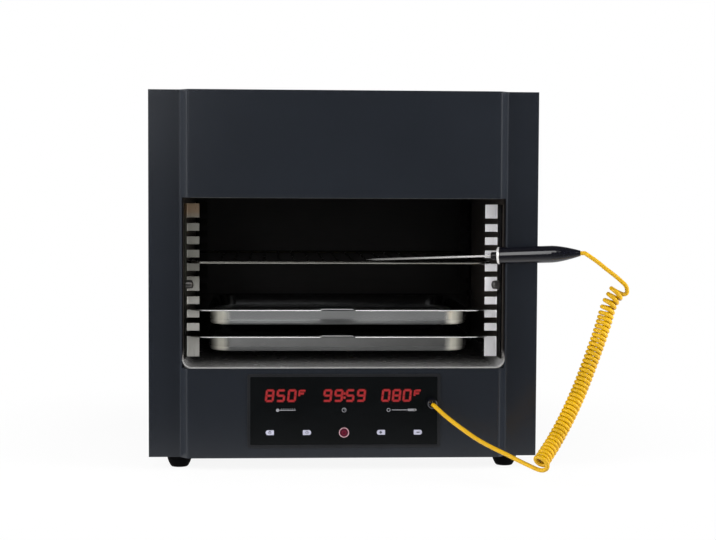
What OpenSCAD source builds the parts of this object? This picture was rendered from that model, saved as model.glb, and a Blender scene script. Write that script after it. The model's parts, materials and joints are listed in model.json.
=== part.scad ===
// Open-front electric grill with overhead quartz heater, slotted rack combs, two trays, one grate
// and a corded food probe. Millimetres, +Z up, front towards -Y, origin under the middle of the feet.

/* [Casing] */
// Width over the sides
case_w = 400; // [380:1:440]
// Height of the casing without its feet
case_h = 376; // [372:1:420]
// Depth from the raised front face to the rear face
case_d = 370; // [355:1:420]
// Thickness of the casing sheet
sheet_t = 1.2; // [0.8:0.1:2]
// Outer radius of the top edge bends
case_r = 3; // [2.5:0.5:6]
// Width of the inward lips at the back and bottom
lip_w = 14; // [10:1:18]

/* [Fascia] */
// Thickness of the front sheet
fascia_t = 1.5; // [1:0.1:2]
// How far the centre stands in front of the side bands
fascia_raise = 10; // [6:0.5:14]
// Width of each flat side band
band_w = 32; // [24:1:34]
// Width of each slanted step between band and centre
slope_w = 8; // [5:0.5:12]
// Inner radius of the fascia's bends
bend_r = 2.5; // [1:0.5:4]

/* [Feet] */
// Height of the feet
foot_h = 12; // [8:1:20]
// Diameter of a foot at the top
foot_top_d = 26; // [22:0.5:28]
// Diameter of a foot at the table
foot_base_d = 18.5; // [16:0.5:20]
// Distance of a foot's centre from the casing side
foot_inset = 30.5; // [30:0.5:40]
// Distance of a foot's centre from the front and rear faces
foot_setback = 27; // [26:1:40]
// Diameter of the foot screws
foot_screw_d = 4; // [3:0.5:5]
// Diameter of the foot screw heads
foot_head_d = 8; // [7:0.5:9]

/* [Cavity] */
// Width of the opening in the fascia
opening_w = 331; // [331:1:336]
// Height of the opening's lower edge above the table
opening_z = 104; // [100:1:108]
// Height of the opening
opening_h = 174.5; // [172:0.5:180]
// Clearance between the liner and the fascia opening
fit_gap = 0.3; // [0.2:0.1:0.6]
// Thickness of the liner sheet
liner_t = 1; // [0.8:0.1:1.2]
// Radius of the liner's lower corners
liner_r = 9.5; // [6:0.5:9.5]
// How far the liner's sill stands in front of the fascia
liner_proud = 1; // [0.5:0.1:2]
// Depth of the folded hem along the liner's sill
hem_d = 5; // [3:0.5:8]
// Thickness that the hem adds inside
hem_t = 0.6; // [0.4:0.1:0.8]
// Depth of the cavity behind the raised front face
cavity_d = 310; // [306:1:318]
// Width of the liner's and hood's joining flanges
joint_flange = 12; // [8:1:14]

/* [Rack] */
// Distance of the front combs behind the raised front face
comb_setback = 42; // [40:1:50]
// Width of a comb's slotted flange
comb_w = 14.5; // [12:0.5:16]
// Thickness of the comb sheet
comb_t = 1.2; // [0.8:0.1:1.3]
// Length of a comb's fixing leg along the wall
comb_leg = 26; // [22:1:30]
// Outer radius of a comb's bend
comb_bend = 3; // [2:0.5:4]
// Height of a comb's lower end above the cavity floor
comb_lift = 8; // [7:0.5:10]
// Height of the lowest slot above the cavity floor
slot_lift = 28; // [26:0.5:28.5]
// Distance from slot to slot
slot_pitch = 13.9; // [13.5:0.1:14]
// Height of a slot
slot_h = 6; // [5:0.5:6.5]
// Extra height of the finger that carries the screw
screw_finger = 7; // [5:0.5:7.5]
// Height of the finger above the top slot
comb_head = 14.5; // [10:0.5:15]
// Diameter of the comb screws
comb_screw_d = 5; // [4:0.5:5]
// Diameter of the comb screw heads
comb_head_d = 9; // [8:0.5:10]
// Height of the comb screw heads
comb_head_h = 8; // [5:0.5:9]
// Height of the domed end of the comb screw heads
comb_head_dome = 3; // [2:0.5:4]

/* [Trays] */
// Width of the trays and the grate
tray_w = 318; // [310:0.5:318]
// Depth of the trays and the grate, front to back
tray_d = 265; // [255:1:270]
// Sideways place of the trays and the grate
tray_shift = -3.5; // [-3.5:0.5:3.5]
// Distance of the trays' front edge behind the raised front face
tray_setback = 24; // [20:1:28]
// Clearance of a tray or the grate over its slot
seat_gap = 0.2; // [0.1:0.1:0.4]
// Depth of a tray
pan_depth = 16.5; // [12:0.5:20]
// Thickness of the tray sheet
pan_t = 0.8; // [0.6:0.1:1]
// Width of a tray's rim
pan_flange = 20; // [18:1:26]
// Corner radius of a tray's rim
pan_corner = 28; // [12:1:32]
// Corner radius of a tray's basin
pan_basin_corner = 28; // [20:1:36]
// Slope of a tray's walls over their height
pan_draft = 3; // [2:0.5:6]
// Size of the rounded edge round a tray's floor
pan_heel = 3; // [2:0.5:7]
// Width of the raised tab on a tray's front rim
tab_w = 32; // [20:1:40]
// Height of the raised tab
tab_h = 2; // [1:0.5:3]
// Sideways place of the tab on its tray
tab_x = -3; // [-20:1:20]
// Diameter of the grate's frame rod
rod_d = 3; // [2.5:0.1:4]
// Diameter of the grate's bars
bar_d = 2.6; // [2:0.1:2.9]
// Corner radius of the grate's frame rod
grate_corner = 16; // [10:1:24]
// Number of bars in the grate
bar_count = 19; // [12:1:24]

/* [Heater] */
// Height of the hood over the cavity
hood_h = 46; // [40:1:54]
// Number of quartz tubes
tube_count = 5; // [3:1:6]
// Outer diameter of a quartz tube
tube_d = 12; // [9:0.5:14]
// Bore of a quartz tube
tube_bore = 9; // [6:0.5:8.5]
// Diameter of the ceramic end caps
cap_d = 16; // [15:0.5:18]
// Length of the ceramic end caps inside the brackets
cap_len = 10; // [8:0.5:14]
// Diameter of the necks that pass through the brackets
neck_d = 10; // [8:0.5:12]
// Distance from the brackets to the hood walls
bracket_inset = 18; // [14:1:24]
// Thickness of the insulation blankets
wool_t = 18; // [14:1:20]

/* [Control panel] */
// Width of the panel over its bezel
panel_w = 198; // [196:1:204]
// Height of the panel over its bezel
panel_h = 76; // [72:1:78]
// Height of the panel's middle above the table
panel_z = 60.7; // [58:0.1:62]
// Width of the bezel
bezel_w = 3; // [2:0.5:3.5]
// Thickness of the bezel and the glass
bezel_t = 1; // [0.8:0.1:2]
// Corner radius of the bezel
bezel_r = 3; // [1:0.5:4]
// Distance of the probe jack from the panel's right edge
jack_inset = 9.5; // [9:0.5:11]
// Height of the probe jack above the table
jack_z = 69.4; // [66:0.1:72]
// Thickness of the jack's lip in front of the glass
jack_lip_t = 1; // [0.5:0.1:1.5]
// Diameter of the plug's pin
pin_d = 6; // [5:0.1:6.3]

/* [Cable gland] */
// Bore of the gland
gland_bore = 8; // [6:0.5:10]
// Diameter of the gland's threaded part
gland_d = 16; // [14:0.5:18]
// How far the gland stands out at the back
gland_out = 16; // [12:1:22]

/* [Probe and cord] */
// Diameter of the cord
cord_d = 3.9; // [3.5:0.1:3.9]
// Outside diameter of the curls
coil_d = 16.2; // [15.6:0.2:16.6]
// Distance from curl to curl where the cord is tight
coil_pitch = 4.75; // [4.75:0.05:4.85]
// Number of tight curls
tight_curls = 37; // [34:1:37]
// Number of loose curls at the upper end
loose_curls = 4; // [3:1:5]
// Diameter of the probe's handle
handle_d = 17.4; // [15:0.1:17.4]
// Diameter of the probe's needle
needle_d = 2.2; // [1.6:0.1:2.4]

/* [Hidden] */
$fn = 48;
over = 1;
run_gap = 0.1;
side_gap = 0.3;
edge = 1;

// The reach in front of and behind the casing sets the middle of the depth at Y = 0.
front_reach = max(liner_proud, bezel_t + jack_lip_t);
louvre_out = 5;
rear_reach = max(gland_out, louvre_out);
front_y = (front_reach - case_d - rear_reach) / 2;

// Casing
wrap_y = fascia_raise + fascia_t;
case_top = foot_h + case_h;
inner_half = case_w / 2 - sheet_t;
rear_y = case_d - sheet_t;
lip_y = rear_y - sheet_t;
base_z = foot_h + sheet_t;
base_top = base_z + sheet_t;
base_flange = 15;
rear_screw_d = 4;
rear_head_d = 7;
rear_head_h = 2.4;
rear_screw_len = 9;
rear_screw_inset = 20;
foot_seat = 4;
foot_screw_out = 3;
foot_x = case_w / 2 - foot_inset;
feet = [[-foot_x, foot_setback], [foot_x, foot_setback],
        [-foot_x, case_d - foot_setback], [foot_x, case_d - foot_setback]];

// Louvres in the rear panel
louvre_w = 70;
louvre_h = 7;
louvre_pitch = 13;
louvre_rows = 7;
louvre_x = 90;
louvre_drop = 130;
louvre_z = case_top - louvre_drop;

// Cavity
liner_half = opening_w / 2 - fit_gap;
liner_in = liner_half - liner_t;
liner_z = opening_z + fit_gap;
floor_z = liner_z + liner_t;
liner_top = opening_z + opening_h - fit_gap;
flange_y = wrap_y + 2;
shelf_half = inner_half - side_gap;
shelf_rear = lip_y - side_gap;
shelf_flange = 15;
hood_z = liner_top + liner_t;
hood_top = liner_top + hood_h;
fascia_k = fascia_t * tan(atan2(fascia_raise, slope_w) / 2);
fascia_step_x = case_w / 2 - band_w;
fascia_face_x = fascia_step_x - slope_w;
hood_lip_half = fascia_face_x - fascia_k - bend_r;
back_half = liner_half + joint_flange;

// Rack
LEVELS = 9;
LOWER_LEVELS = 4;
LOWER_PAN_LEVEL = 1;
UPPER_PAN_LEVEL = 3;
GRATE_LEVEL = 6;
comb_in = liner_in - comb_w;
comb_z = liner_z + comb_lift;
tray_mid = tray_setback + tray_d / 2;
comb_rear = 2 * tray_mid - comb_setback;
comb_screw_z = slot_z(LOWER_LEVELS) + slot_h + (slot_pitch - slot_h + screw_finger) / 2;
comb_screw_in = 12;
comb_screw_len = 5;
comb_nut_d = 9;
comb_nut_h = 3;

function slot_z(level) =
    floor_z + slot_lift + (level - 1) * slot_pitch + (level > LOWER_LEVELS ? screw_finger : 0);

comb_top = slot_z(LEVELS) + slot_h + comb_head;

// Heater
bracket_x = liner_in - bracket_inset;
bracket_t = 1.2;
bracket_drop = 36;
bracket_flange = 12;
bracket_y0 = 40;
bracket_y1 = cavity_d - 30;
tube_z = hood_top - liner_t - bracket_drop / 2 - 4;
tube_pitch = (bracket_y1 - bracket_y0) / tube_count;
tube_end = bracket_x - bracket_t - cap_len;
neck_out = 6;
back_wool_y = cavity_d + liner_t;
couple_x = 60;
couple_rise = 12;
couple_z = liner_top + couple_rise;
couple_d = 6;
couple_in = 40;
couple_disc_d = 14;
couple_disc_t = 3;
cutout_x = 70;
cutout_y = 250;
cutout_d = 20;
cutout_h = 8;
blade_w = 6;
blade_t = 0.8;
blade_len = 10;

// Control panel
glass_w = panel_w - 2 * bezel_w - 2 * run_gap;
glass_h = panel_h - 2 * bezel_w - 2 * run_gap;
window_side = 15;
window_w = panel_w - 2 * window_side;
window_h = panel_h - 16;
display_w = 46;
display_h = 19;
display_t = 8;
display_z = panel_z + 15.8;
display_pitch = (window_w - display_w) / 2 - edge;
board_w = panel_w - 10;
board_h = panel_h - 6;
board_t = 1.6;
post_d = 6;
post_inset = 10;
post_x = panel_w / 2 - post_inset;
post_z = panel_h / 2 - 7;
jack_x = panel_w / 2 - jack_inset;
jack_d = 9;
jack_lip_d = 10.4;
jack_back = 16;
jack_bore_end = 13;
pin_len = 12;
plug_d = 10;
plug_len = 14;
plug_tail = 6;
plug_tail_d = 6.4;
plug_tip_d = cord_d + 0.8;
plug_y = -(bezel_t + jack_lip_t);
plug_end_y = plug_y - plug_len - plug_tail;

// Power parts on the base
power_inset_x = 105;
power_x = power_inset_x - case_w / 2;
power_y = 250;
power_w = 130;
power_d = 120;
power_post_h = 8;
power_inset = 7;
power_z = base_top + power_post_h;
power_top = power_z + board_t;
core_w = 48;
core_d = 20;
core_h = 40;
core_x = power_x - 30;
core_y = power_y + 20;
winding_w = 26;
winding_d = 38;
winding_r = 4;
relay_w = 16;
relay_d = 28;
relay_h = 20;
relay_pitch = 22;
relay_x = power_x + 14;
pole_w = 14;
pole_count = 4;
pole_d = 18;
pole_h = 16;
pole_x = power_x - 10;
pole_setback = 52;
pole_y = power_y - pole_setback;
well_d = 6;
well_depth = 8;

// Gland
gland_inset = 60;
gland_x = case_w / 2 - gland_inset;
gland_z = foot_h + 34;
gland_hex = 22;
gland_hex_t = 5;
gland_in = 12;
gland_nut_t = 5;

// Probe: tip and cord end of the straight tool, measured from the raised front face
needle_gap = 0.4;
probe_tip = [23.5, 28, slot_z(GRATE_LEVEL) + seat_gap + rod_d + needle_d / 2 + needle_gap];
probe_rise = 9.7;
probe_reach = 236.7;
probe_out = 31;
probe_end = [probe_reach, -probe_out, probe_tip[2] + probe_rise];
probe_len = norm(probe_end - probe_tip);
probe_dir = (probe_end - probe_tip) / probe_len;
needle_point = 9;
collar_s = 130.5;
collar_d = 8;
ferrule_s = 137;
handle_s = 139.5;
taper_s = 193;
taper_power = 1.5;
handle_end_d = 5.6;

// Curly cord: the points that the axis of the curls runs through, from its lower to its upper end
coil_start = [185, -104, 23];
coil_route = [coil_start, [192.5, -95.5, 31], [203, -85.5, 43.5], [217.5, -74, 65.5], [233, -61, 93.5],
              [249.5, -50, 131.5], [258, -45, 154], [264.5, -41.5, 173.5], [273.5, -40, 187]];
coil_phase = 60;
low_flare = 3;
top_flare = 1.2;
AXIS_STEPS = 8;
AXIS_REACH = 4;
LEAD_STEPS = 2;
RINGS = 8;
CORD_SIDES = 8;
CURL_SIDES = 6;
axis_line = smooth(coil_route, AXIS_STEPS);
axis_runs = [for (i = [0 : len(axis_line) - 1]) run_to(i)];
axis_tables = [for (k = [0 : 2]) [for (i = [0 : len(axis_line) - 1]) [axis_runs[i], axis_line[i][k]]]];
coil_len = axis_runs[len(axis_runs) - 1];
coil_r = (coil_d - cord_d) / 2;
tight_len = tight_curls * coil_pitch;
loose_pitch = (coil_len - tight_len) / loose_curls;
coil_steps = (tight_curls + loose_curls) * RINGS;

// Route of the lower lead from the plug to the curls, and of the upper lead from the curls to the handle
jack_face = [jack_x, 0, jack_z];
lower_route = [jack_face + [0.5, -29, 0], jack_face + [4, -34, -3], jack_face + [11.5, -39.5, -9.5],
               jack_face + [23, -47, -18], jack_face + [38, -57, -28], coil_start + [-43, 36.5, 11],
               coil_start + [-28.5, 26, 5], coil_start + [-17, 17, 0], coil_start + [-9.5, 11, -3]];
upper_route = [[283, -36, 184], [283.5, -36, 188], [282, -36, 192], [278, -35.5, 196], [271, -35, 202],
               [262.5, -34, 208.5], [254.5, -33, 215], [247.5, -32.5, 220]];

function unit(v) = v / norm(v);
function run_to(i) = i == 0 ? 0 : run_to(i - 1) + norm(axis_line[i] - axis_line[i - 1]);
function axis_at(s) = [for (table = axis_tables) lookup(s, table)];
function axis_dir(s) = unit(axis_at(s + AXIS_REACH) - axis_at(s - AXIS_REACH));
function axis_side(s) = unit(cross([0, 1, 0], axis_dir(s)));
function axis_back(s) = cross(axis_dir(s), axis_side(s));
function coil_s(i) =
    i <= tight_curls * RINGS
    ? i / RINGS * coil_pitch
    : tight_len + (i - tight_curls * RINGS) / RINGS * loose_pitch;
function flare(i) =
    low_flare * pow(max(0, 1 - i / RINGS), 2)
    + top_flare * pow(max(0, 1 - (coil_steps - i) / (2 * RINGS)), 2);
function curl_point(i) =
    let (s = coil_s(i), a = coil_phase - 360 * i / RINGS, r = coil_r + flare(i))
    axis_at(s) + r * (cos(a) * axis_side(s) + sin(a) * axis_back(s));
function curl_dir(s, pitch, r) =
    unit(sin(coil_phase) * axis_side(s) - cos(coil_phase) * axis_back(s) + axis_dir(s) * pitch / (2 * PI * r));

// Straight runs of cord: one diameter at the plug and the handle, half of one beside each end of the curls
coil_in = curl_dir(0, coil_pitch, coil_r + low_flare) * cord_d / 2;
coil_out = curl_dir(coil_len, loose_pitch, coil_r + top_flare) * cord_d / 2;
coil_entry = curl_point(0) - coil_in;
coil_exit = curl_point(coil_steps) + coil_out;
plug_exit = [jack_x, plug_end_y, jack_z];
plug_out = [0, -cord_d, 0];
handle_out = probe_dir * cord_d;

curls = [for (i = [0 : coil_steps]) curl_point(i)];
curl_path = concat([coil_entry], curls, [coil_exit]);
lower_path = concat(
    [plug_exit],
    smooth(concat([plug_exit + plug_out], lower_route, [coil_entry - coil_in]), LEAD_STEPS),
    [coil_entry]);
upper_path = concat(
    [coil_exit],
    smooth(concat([coil_exit + coil_out], upper_route, [probe_end + handle_out]), LEAD_STEPS),
    [probe_end]);

// Smallest clear distance between a curl and its neighbours, measured from centre to centre
curl_gap = min([for (i = [0 : coil_steps - RINGS]) for (j = [RINGS - 2 : RINGS + 2])
    if (i + j <= coil_steps) norm(curls[i + j] - curls[i]) - cord_d]);
echo(curly_cord_least_gap = curl_gap);

// Points on a smooth curve through a list of points, with a number of steps to each span
function smooth(p, steps) =
    let (n = len(p) - 1)
    concat([for (i = [0 : n - 1]) for (k = [0 : steps - 1]) spline(p, i, k / steps)], [p[n]]);
function spline(p, i, t) =
    let (n = len(p) - 1, a = p[max(i - 1, 0)], b = p[i], c = p[i + 1], d = p[min(i + 2, n)])
    0.5 * (2 * b + (c - a) * t + (2 * a - 5 * b + 4 * c - d) * t * t
           + (3 * b - a - 3 * c + d) * t * t * t);
function tangent(p, i) = unit(p[min(i + 1, len(p) - 1)] - p[max(i - 1, 0)]);
function ring(p, i, ref, sides, r) =
    let (t = tangent(p, i), u = unit(cross(t, ref)), v = cross(t, u))
    [for (k = [0 : sides - 1]) p[i] + r * (cos(360 * k / sides) * u + sin(360 * k / sides) * v)];

// A round tube along a list of points
module tube(path, refs, sides, d) {
    n = len(path) - 1;
    points = [for (i = [0 : n]) each ring(path, i, refs[i], sides, d / 2)];
    walls = [for (i = [0 : n - 1]) for (k = [0 : sides - 1])
        let (a = i * sides + k, b = i * sides + (k + 1) % sides)
        each [[a, b, a + sides], [b, b + sides, a + sides]]];
    caps = [for (k = [1 : sides - 2]) each [[0, k + 1, k], [n * sides, n * sides + k, n * sides + k + 1]]];
    polyhedron(points, concat(walls, caps));
}

// Shared helpers
module at_front() {
    translate([0, front_y, 0])
        children();
}

module along_y(y0, y1) {
    translate([0, y1, 0])
        rotate([90, 0, 0])
            linear_extrude(y1 - y0)
                children();
}

module block(x0, x1, y0, y1, z0, z1) {
    translate([x0, y0, z0])
        cube([x1 - x0, y1 - y0, z1 - z0]);
}

module rod_x(x0, x1, y, z, d) {
    translate([x0, y, z])
        rotate([0, 90, 0])
            cylinder(d = d, h = x1 - x0);
}

module rod_y(x, y0, y1, z, d) {
    translate([x, y1, z])
        rotate([90, 0, 0])
            cylinder(d = d, h = y1 - y0);
}

module rod_z(x, y, z0, z1, d) {
    translate([x, y, z0])
        cylinder(d = d, h = z1 - z0);
}

module both_sides() {
    children();
    mirror([1, 0, 0])
        children();
}

module rounded_rect(w, h, r) {
    square([w - 2 * r, h], center = true);
    square([w, h - 2 * r], center = true);
    for (x = [-1, 1])
        for (y = [-1, 1])
            translate([x * (w / 2 - r), y * (h / 2 - r)])
                circle(r);
}

// Outline of the casing seen from the front: square below, rounded above
module case_outline(inset) {
    w = case_w - 2 * inset;
    r = case_r - inset;
    translate([-w / 2, foot_h])
        square([w, case_h - inset - r]);
    translate([r - w / 2, foot_h])
        square([w - 2 * r, case_h - inset]);
    for (x = [-1, 1])
        translate([x * (w / 2 - r), case_top - inset - r])
            circle(r);
}

module hex_nut(d, bore, h) {
    difference() {
        cylinder(d = d / cos(30), h = h, $fn = 6);
        translate([0, 0, -over])
            cylinder(d = bore, h = h + 2 * over);
    }
}

// Screw with a domed head: the head's seat is at Z = 0 and the shank runs down
module screw(d, head_d, head_h, dome, length) {
    neck = head_h - dome;
    rotate_extrude()
        polygon(concat(
            [[0, -length], [d / 2, -length], [d / 2, 0], [head_d / 2, 0]],
            neck > 0 ? [[head_d / 2, neck]] : [],
            [for (a = [20 : 20 : 80]) [head_d / 2 * cos(a), neck + dome * sin(a)]],
            [[0, head_h]]));
}

function rear_screw_places() =
    [for (x = [-1, 1]) for (z = [foot_h + rear_screw_inset, foot_h + case_h / 2, case_top - rear_screw_inset])
        [x * (case_w / 2 - lip_w / 2 - sheet_t / 2), z]];

// Casing pieces
module outer_casing() {
    color("#2c3036")
        at_front()
            difference() {
                union() {
                    along_y(wrap_y, rear_y)
                        difference() {
                            case_outline(0);
                            case_outline(sheet_t);
                            translate([-inner_half, foot_h - over])
                                square([2 * inner_half, 2 * over]);
                        }
                    both_sides()
                        block(case_w / 2 - lip_w, case_w / 2, wrap_y, rear_y, foot_h, base_z);
                    along_y(lip_y, rear_y)
                        difference() {
                            case_outline(0);
                            translate([0, foot_h + (case_h - lip_w) / 2 - over])
                                square([case_w - 2 * lip_w, case_h - lip_w + 2 * over], center = true);
                        }
                }
                for (p = rear_screw_places())
                    rod_y(p[0], lip_y - over, rear_y + over, p[1], rear_screw_d + 2 * run_gap);
            }
}

// Points on the rounded corner at b of a line from a to c
BEND_STEPS = 5;
function fillet(a, b, c, r) =
    let (u = unit(a - b), v = unit(c - b), half = acos(u * v) / 2, centre = b + unit(u + v) * r / sin(half),
         p = b + u * r / tan(half) - centre, q = b + v * r / tan(half) - centre, start = atan2(p[1], p[0]),
         turn = atan2(p[0] * q[1] - p[1] * q[0], p * q))
    [for (i = [0 : BEND_STEPS])
        let (angle = start + turn * i / BEND_STEPS) centre + r * [cos(angle), sin(angle)]];

// Line of four bends: the outer pair has radius r_out and the inner pair r_in
function folded(p, r_out, r_in) =
    concat([p[0]], fillet(p[0], p[1], p[2], r_out), fillet(p[1], p[2], p[3], r_in),
           fillet(p[2], p[3], p[4], r_in), fillet(p[3], p[4], p[5], r_out), [p[5]]);

module front_fascia() {
    front = [[-case_w / 2, fascia_raise], [-fascia_step_x, fascia_raise], [-fascia_face_x, 0],
             [fascia_face_x, 0], [fascia_step_x, fascia_raise], [case_w / 2, fascia_raise]];
    back_step_x = fascia_step_x - fascia_k;
    back_face_x = fascia_face_x - fascia_k;
    back = [[case_w / 2, wrap_y], [back_step_x, wrap_y], [back_face_x, fascia_t],
            [-back_face_x, fascia_t], [-back_step_x, wrap_y], [-case_w / 2, wrap_y]];
    front_line = folded(front, bend_r, bend_r + fascia_t);
    back_line = folded(back, bend_r + fascia_t, bend_r);
    lid_line = [for (p = front_line) if (p[1] < fascia_raise) p];
    color("#2a2e34")
        at_front()
            difference() {
                union() {
                    translate([0, 0, foot_h])
                        linear_extrude(case_h)
                            polygon(concat(front_line, back_line));
                    for (z = [foot_h, case_top - fascia_t])
                        translate([0, 0, z])
                            linear_extrude(fascia_t)
                                polygon(concat(lid_line, [back[1], back[4]]));
                }
                block(-opening_w / 2, opening_w / 2, -over, wrap_y + over, opening_z, opening_z + opening_h);
                block(-window_w / 2, window_w / 2, -over, fascia_t + over,
                      panel_z - window_h / 2, panel_z + window_h / 2);
                rod_y(jack_x, -over, wrap_y, jack_z, jack_d + 2 * run_gap);
            }
}

module louvre() {
    translate([-louvre_w / 2, 0, 0])
        rotate([90, 0, 90])
            difference() {
                linear_extrude(louvre_w)
                    polygon([[0, 0], [louvre_out, 0], [louvre_out, sheet_t], [0, louvre_h]]);
                translate([0, 0, sheet_t])
                    linear_extrude(louvre_w - 2 * sheet_t)
                        polygon([[-over, -over], [louvre_out - sheet_t, -over], [louvre_out - sheet_t, 0],
                                 [0, louvre_h - 2 * sheet_t], [-over, louvre_h - 2 * sheet_t]]);
            }
}

module louvre_places() {
    for (x = [-louvre_x, louvre_x])
        for (i = [0 : louvre_rows - 1])
            translate([x, 0, louvre_z + i * louvre_pitch])
                children();
}

module rear_panel() {
    slot_w = louvre_w - 2 * sheet_t;
    color("#2c3036")
        at_front()
            difference() {
                union() {
                    along_y(rear_y, case_d)
                        case_outline(0);
                    louvre_places()
                        translate([0, case_d, 0])
                            louvre();
                }
                louvre_places()
                    block(-slot_w / 2, slot_w / 2, rear_y - over, case_d + run_gap,
                          0, louvre_h - 2 * sheet_t);
                for (p = rear_screw_places())
                    rod_y(p[0], rear_y - over, case_d + over, p[1], rear_screw_d + 2 * run_gap);
                rod_y(gland_x, rear_y - over, case_d + over, gland_z, gland_d + 2 * run_gap);
            }
}

module rear_screws() {
    color("#16181b")
        at_front()
            for (p = rear_screw_places())
                translate([p[0], case_d, p[1]])
                    rotate([-90, 0, 0])
                        screw(rear_screw_d, rear_head_d, rear_head_h, rear_head_h, rear_screw_len);
}

module base_plate() {
    half = inner_half - side_gap;
    color("#3a3d42")
        at_front()
            difference() {
                union() {
                    block(-half, half, wrap_y, lip_y, base_z, base_top);
                    both_sides()
                        block(half - sheet_t, half, wrap_y, lip_y, base_z, base_top + base_flange);
                }
                for (p = feet)
                    rod_z(p[0], p[1], base_z - over, base_top + over, foot_screw_d + 2 * run_gap);
            }
}

FOOT_STEPS = 4;
function foot_r(share) = foot_top_d / 2 - (foot_top_d - foot_base_d) / 2 * pow(1 - share, 2);

module foot(place) {
    color("#141516")
        at_front()
            translate([place[0], place[1], 0])
                rotate_extrude()
                    polygon(concat(
                        [[foot_head_d / 2 + run_gap, 0], [foot_base_d / 2 - edge, 0]],
                        [for (k = [0 : FOOT_STEPS])
                            [foot_r(k / FOOT_STEPS), edge + (base_z - edge) * k / FOOT_STEPS]],
                        [[foot_screw_d / 2 + run_gap, base_z], [foot_screw_d / 2 + run_gap, foot_seat],
                         [foot_head_d / 2 + run_gap, foot_seat]]));
}

module foot_front_left() {
    foot(feet[0]);
}

module foot_front_right() {
    foot(feet[1]);
}

module foot_rear_left() {
    foot(feet[2]);
}

module foot_rear_right() {
    foot(feet[3]);
}

module foot_screws() {
    color("#9a9da1")
        at_front()
            for (p = feet)
                translate([p[0], p[1], foot_seat])
                    rotate([180, 0, 0])
                        screw(foot_screw_d, foot_head_d, foot_seat - edge, foot_seat - edge,
                              base_top + foot_screw_out - foot_seat);
}

// Cavity pieces
module cavity_shelf() {
    color("#8d9094")
        at_front() {
            block(-shelf_half, shelf_half, wrap_y, shelf_rear, liner_z - sheet_t, liner_z);
            both_sides()
                block(shelf_half - sheet_t, shelf_half, wrap_y, shelf_rear, liner_z - shelf_flange, liner_z);
        }
}

// Outline of the cavity seen from the front: rounded below, square above
module liner_outline(inset, top) {
    half = liner_half - inset;
    z = liner_z + inset;
    r = liner_r - inset;
    translate([-half, z + r])
        square([2 * half, top - z - r]);
    translate([r - half, z])
        square([2 * (half - r), top - z]);
    for (x = [-1, 1])
        translate([x * (half - r), z + r])
            circle(r);
}

function comb_screw_y(front) = front ? comb_setback - comb_screw_in : comb_rear + comb_screw_in;

module comb_screw_holes() {
    for (front = [true, false])
        both_sides()
            rod_x(comb_in, liner_half + over, comb_screw_y(front), comb_screw_z, comb_screw_d + 2 * run_gap);
}

module liner_sheet(t) {
    difference() {
        liner_outline(0, liner_top);
        liner_outline(t, liner_top + over);
    }
}

module cavity_liner() {
    color("#c9cbcd")
        at_front()
            difference() {
                union() {
                    along_y(0, cavity_d)
                        liner_sheet(liner_t);
                    along_y(-liner_proud, hem_d - liner_proud)
                        intersection() {
                            liner_sheet(liner_t + hem_t);
                            translate([-liner_half, liner_z])
                                square([2 * liner_half, liner_r]);
                        }
                    both_sides()
                        block(liner_in, back_half, flange_y, cavity_d, liner_top - liner_t, liner_top);
                }
                comb_screw_holes();
            }
}

module liner_back() {
    color("#a9abad")
        at_front()
            difference() {
                block(-back_half, back_half, cavity_d, cavity_d + liner_t, liner_z, hood_top);
                rod_y(couple_x, cavity_d - over, cavity_d + liner_t + over, couple_z, couple_d + 2 * run_gap);
            }
}

// Section of a front comb on the left wall: a leg along the wall, a bend and a flange across
module comb_section() {
    bend = [comb_bend - liner_in, comb_setback + comb_t - comb_bend];
    translate([-liner_in, comb_setback - comb_leg])
        square([comb_t, comb_leg + comb_t - comb_bend]);
    translate([bend[0], comb_setback])
        square([comb_w - comb_bend, comb_t]);
    intersection() {
        translate(bend)
            difference() {
                circle(comb_bend);
                circle(comb_bend - comb_t);
            }
        translate([-liner_in, bend[1]])
            square(comb_bend);
    }
}

// A front comb on the left wall, its slots open towards the middle of the cavity
module comb() {
    color("#c4c6c8")
        difference() {
            translate([0, 0, comb_z])
                linear_extrude(comb_top - comb_z)
                    comb_section();
            for (level = [1 : LEVELS])
                block(comb_t - liner_in, over - comb_in, comb_setback + comb_t - comb_bend,
                      comb_setback + comb_t + over, slot_z(level), slot_z(level) + slot_h);
            comb_screw_holes();
        }
}

module front_to_rear() {
    translate([0, 2 * tray_mid, 0])
        mirror([0, 1, 0])
            children();
}

module comb_front_left() {
    at_front()
        comb();
}

module comb_front_right() {
    at_front()
        mirror([1, 0, 0])
            comb();
}

module comb_rear_left() {
    at_front()
        front_to_rear()
            comb();
}

module comb_rear_right() {
    at_front()
        mirror([1, 0, 0])
            front_to_rear()
                comb();
}

module comb_screws() {
    color("#b4b6b8")
        at_front()
            for (front = [true, false])
                both_sides()
                    translate([liner_in - comb_t, comb_screw_y(front), comb_screw_z])
                        rotate([0, -90, 0])
                            screw(comb_screw_d, comb_head_d, comb_head_h, comb_head_dome,
                                  comb_t + liner_t + comb_screw_len);
}

module comb_nuts() {
    color("#9a9da1")
        at_front()
            for (front = [true, false])
                both_sides()
                    translate([liner_half, comb_screw_y(front), comb_screw_z])
                        rotate([0, 90, 0])
                            hex_nut(comb_nut_d, comb_screw_d + 2 * run_gap, comb_nut_h);
}

// Heater pieces
module heater_hood() {
    color("#b2b4b6")
        at_front() {
            both_sides() {
                block(liner_in, back_half, flange_y, cavity_d, liner_top, hood_z);
                block(liner_in, liner_half, flange_y, cavity_d, liner_top, hood_top);
            }
            block(-liner_half, liner_half, flange_y, cavity_d, hood_top - liner_t, hood_top);
            block(-liner_half, liner_half, flange_y, flange_y + liner_t, liner_top, hood_top);
            block(-hood_lip_half, hood_lip_half, fascia_t + side_gap, flange_y + liner_t, liner_top, hood_z);
        }
}

module tube_places() {
    for (i = [0 : tube_count - 1])
        translate([0, bracket_y0 + (i + 0.5) * tube_pitch, tube_z])
            children();
}

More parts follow.
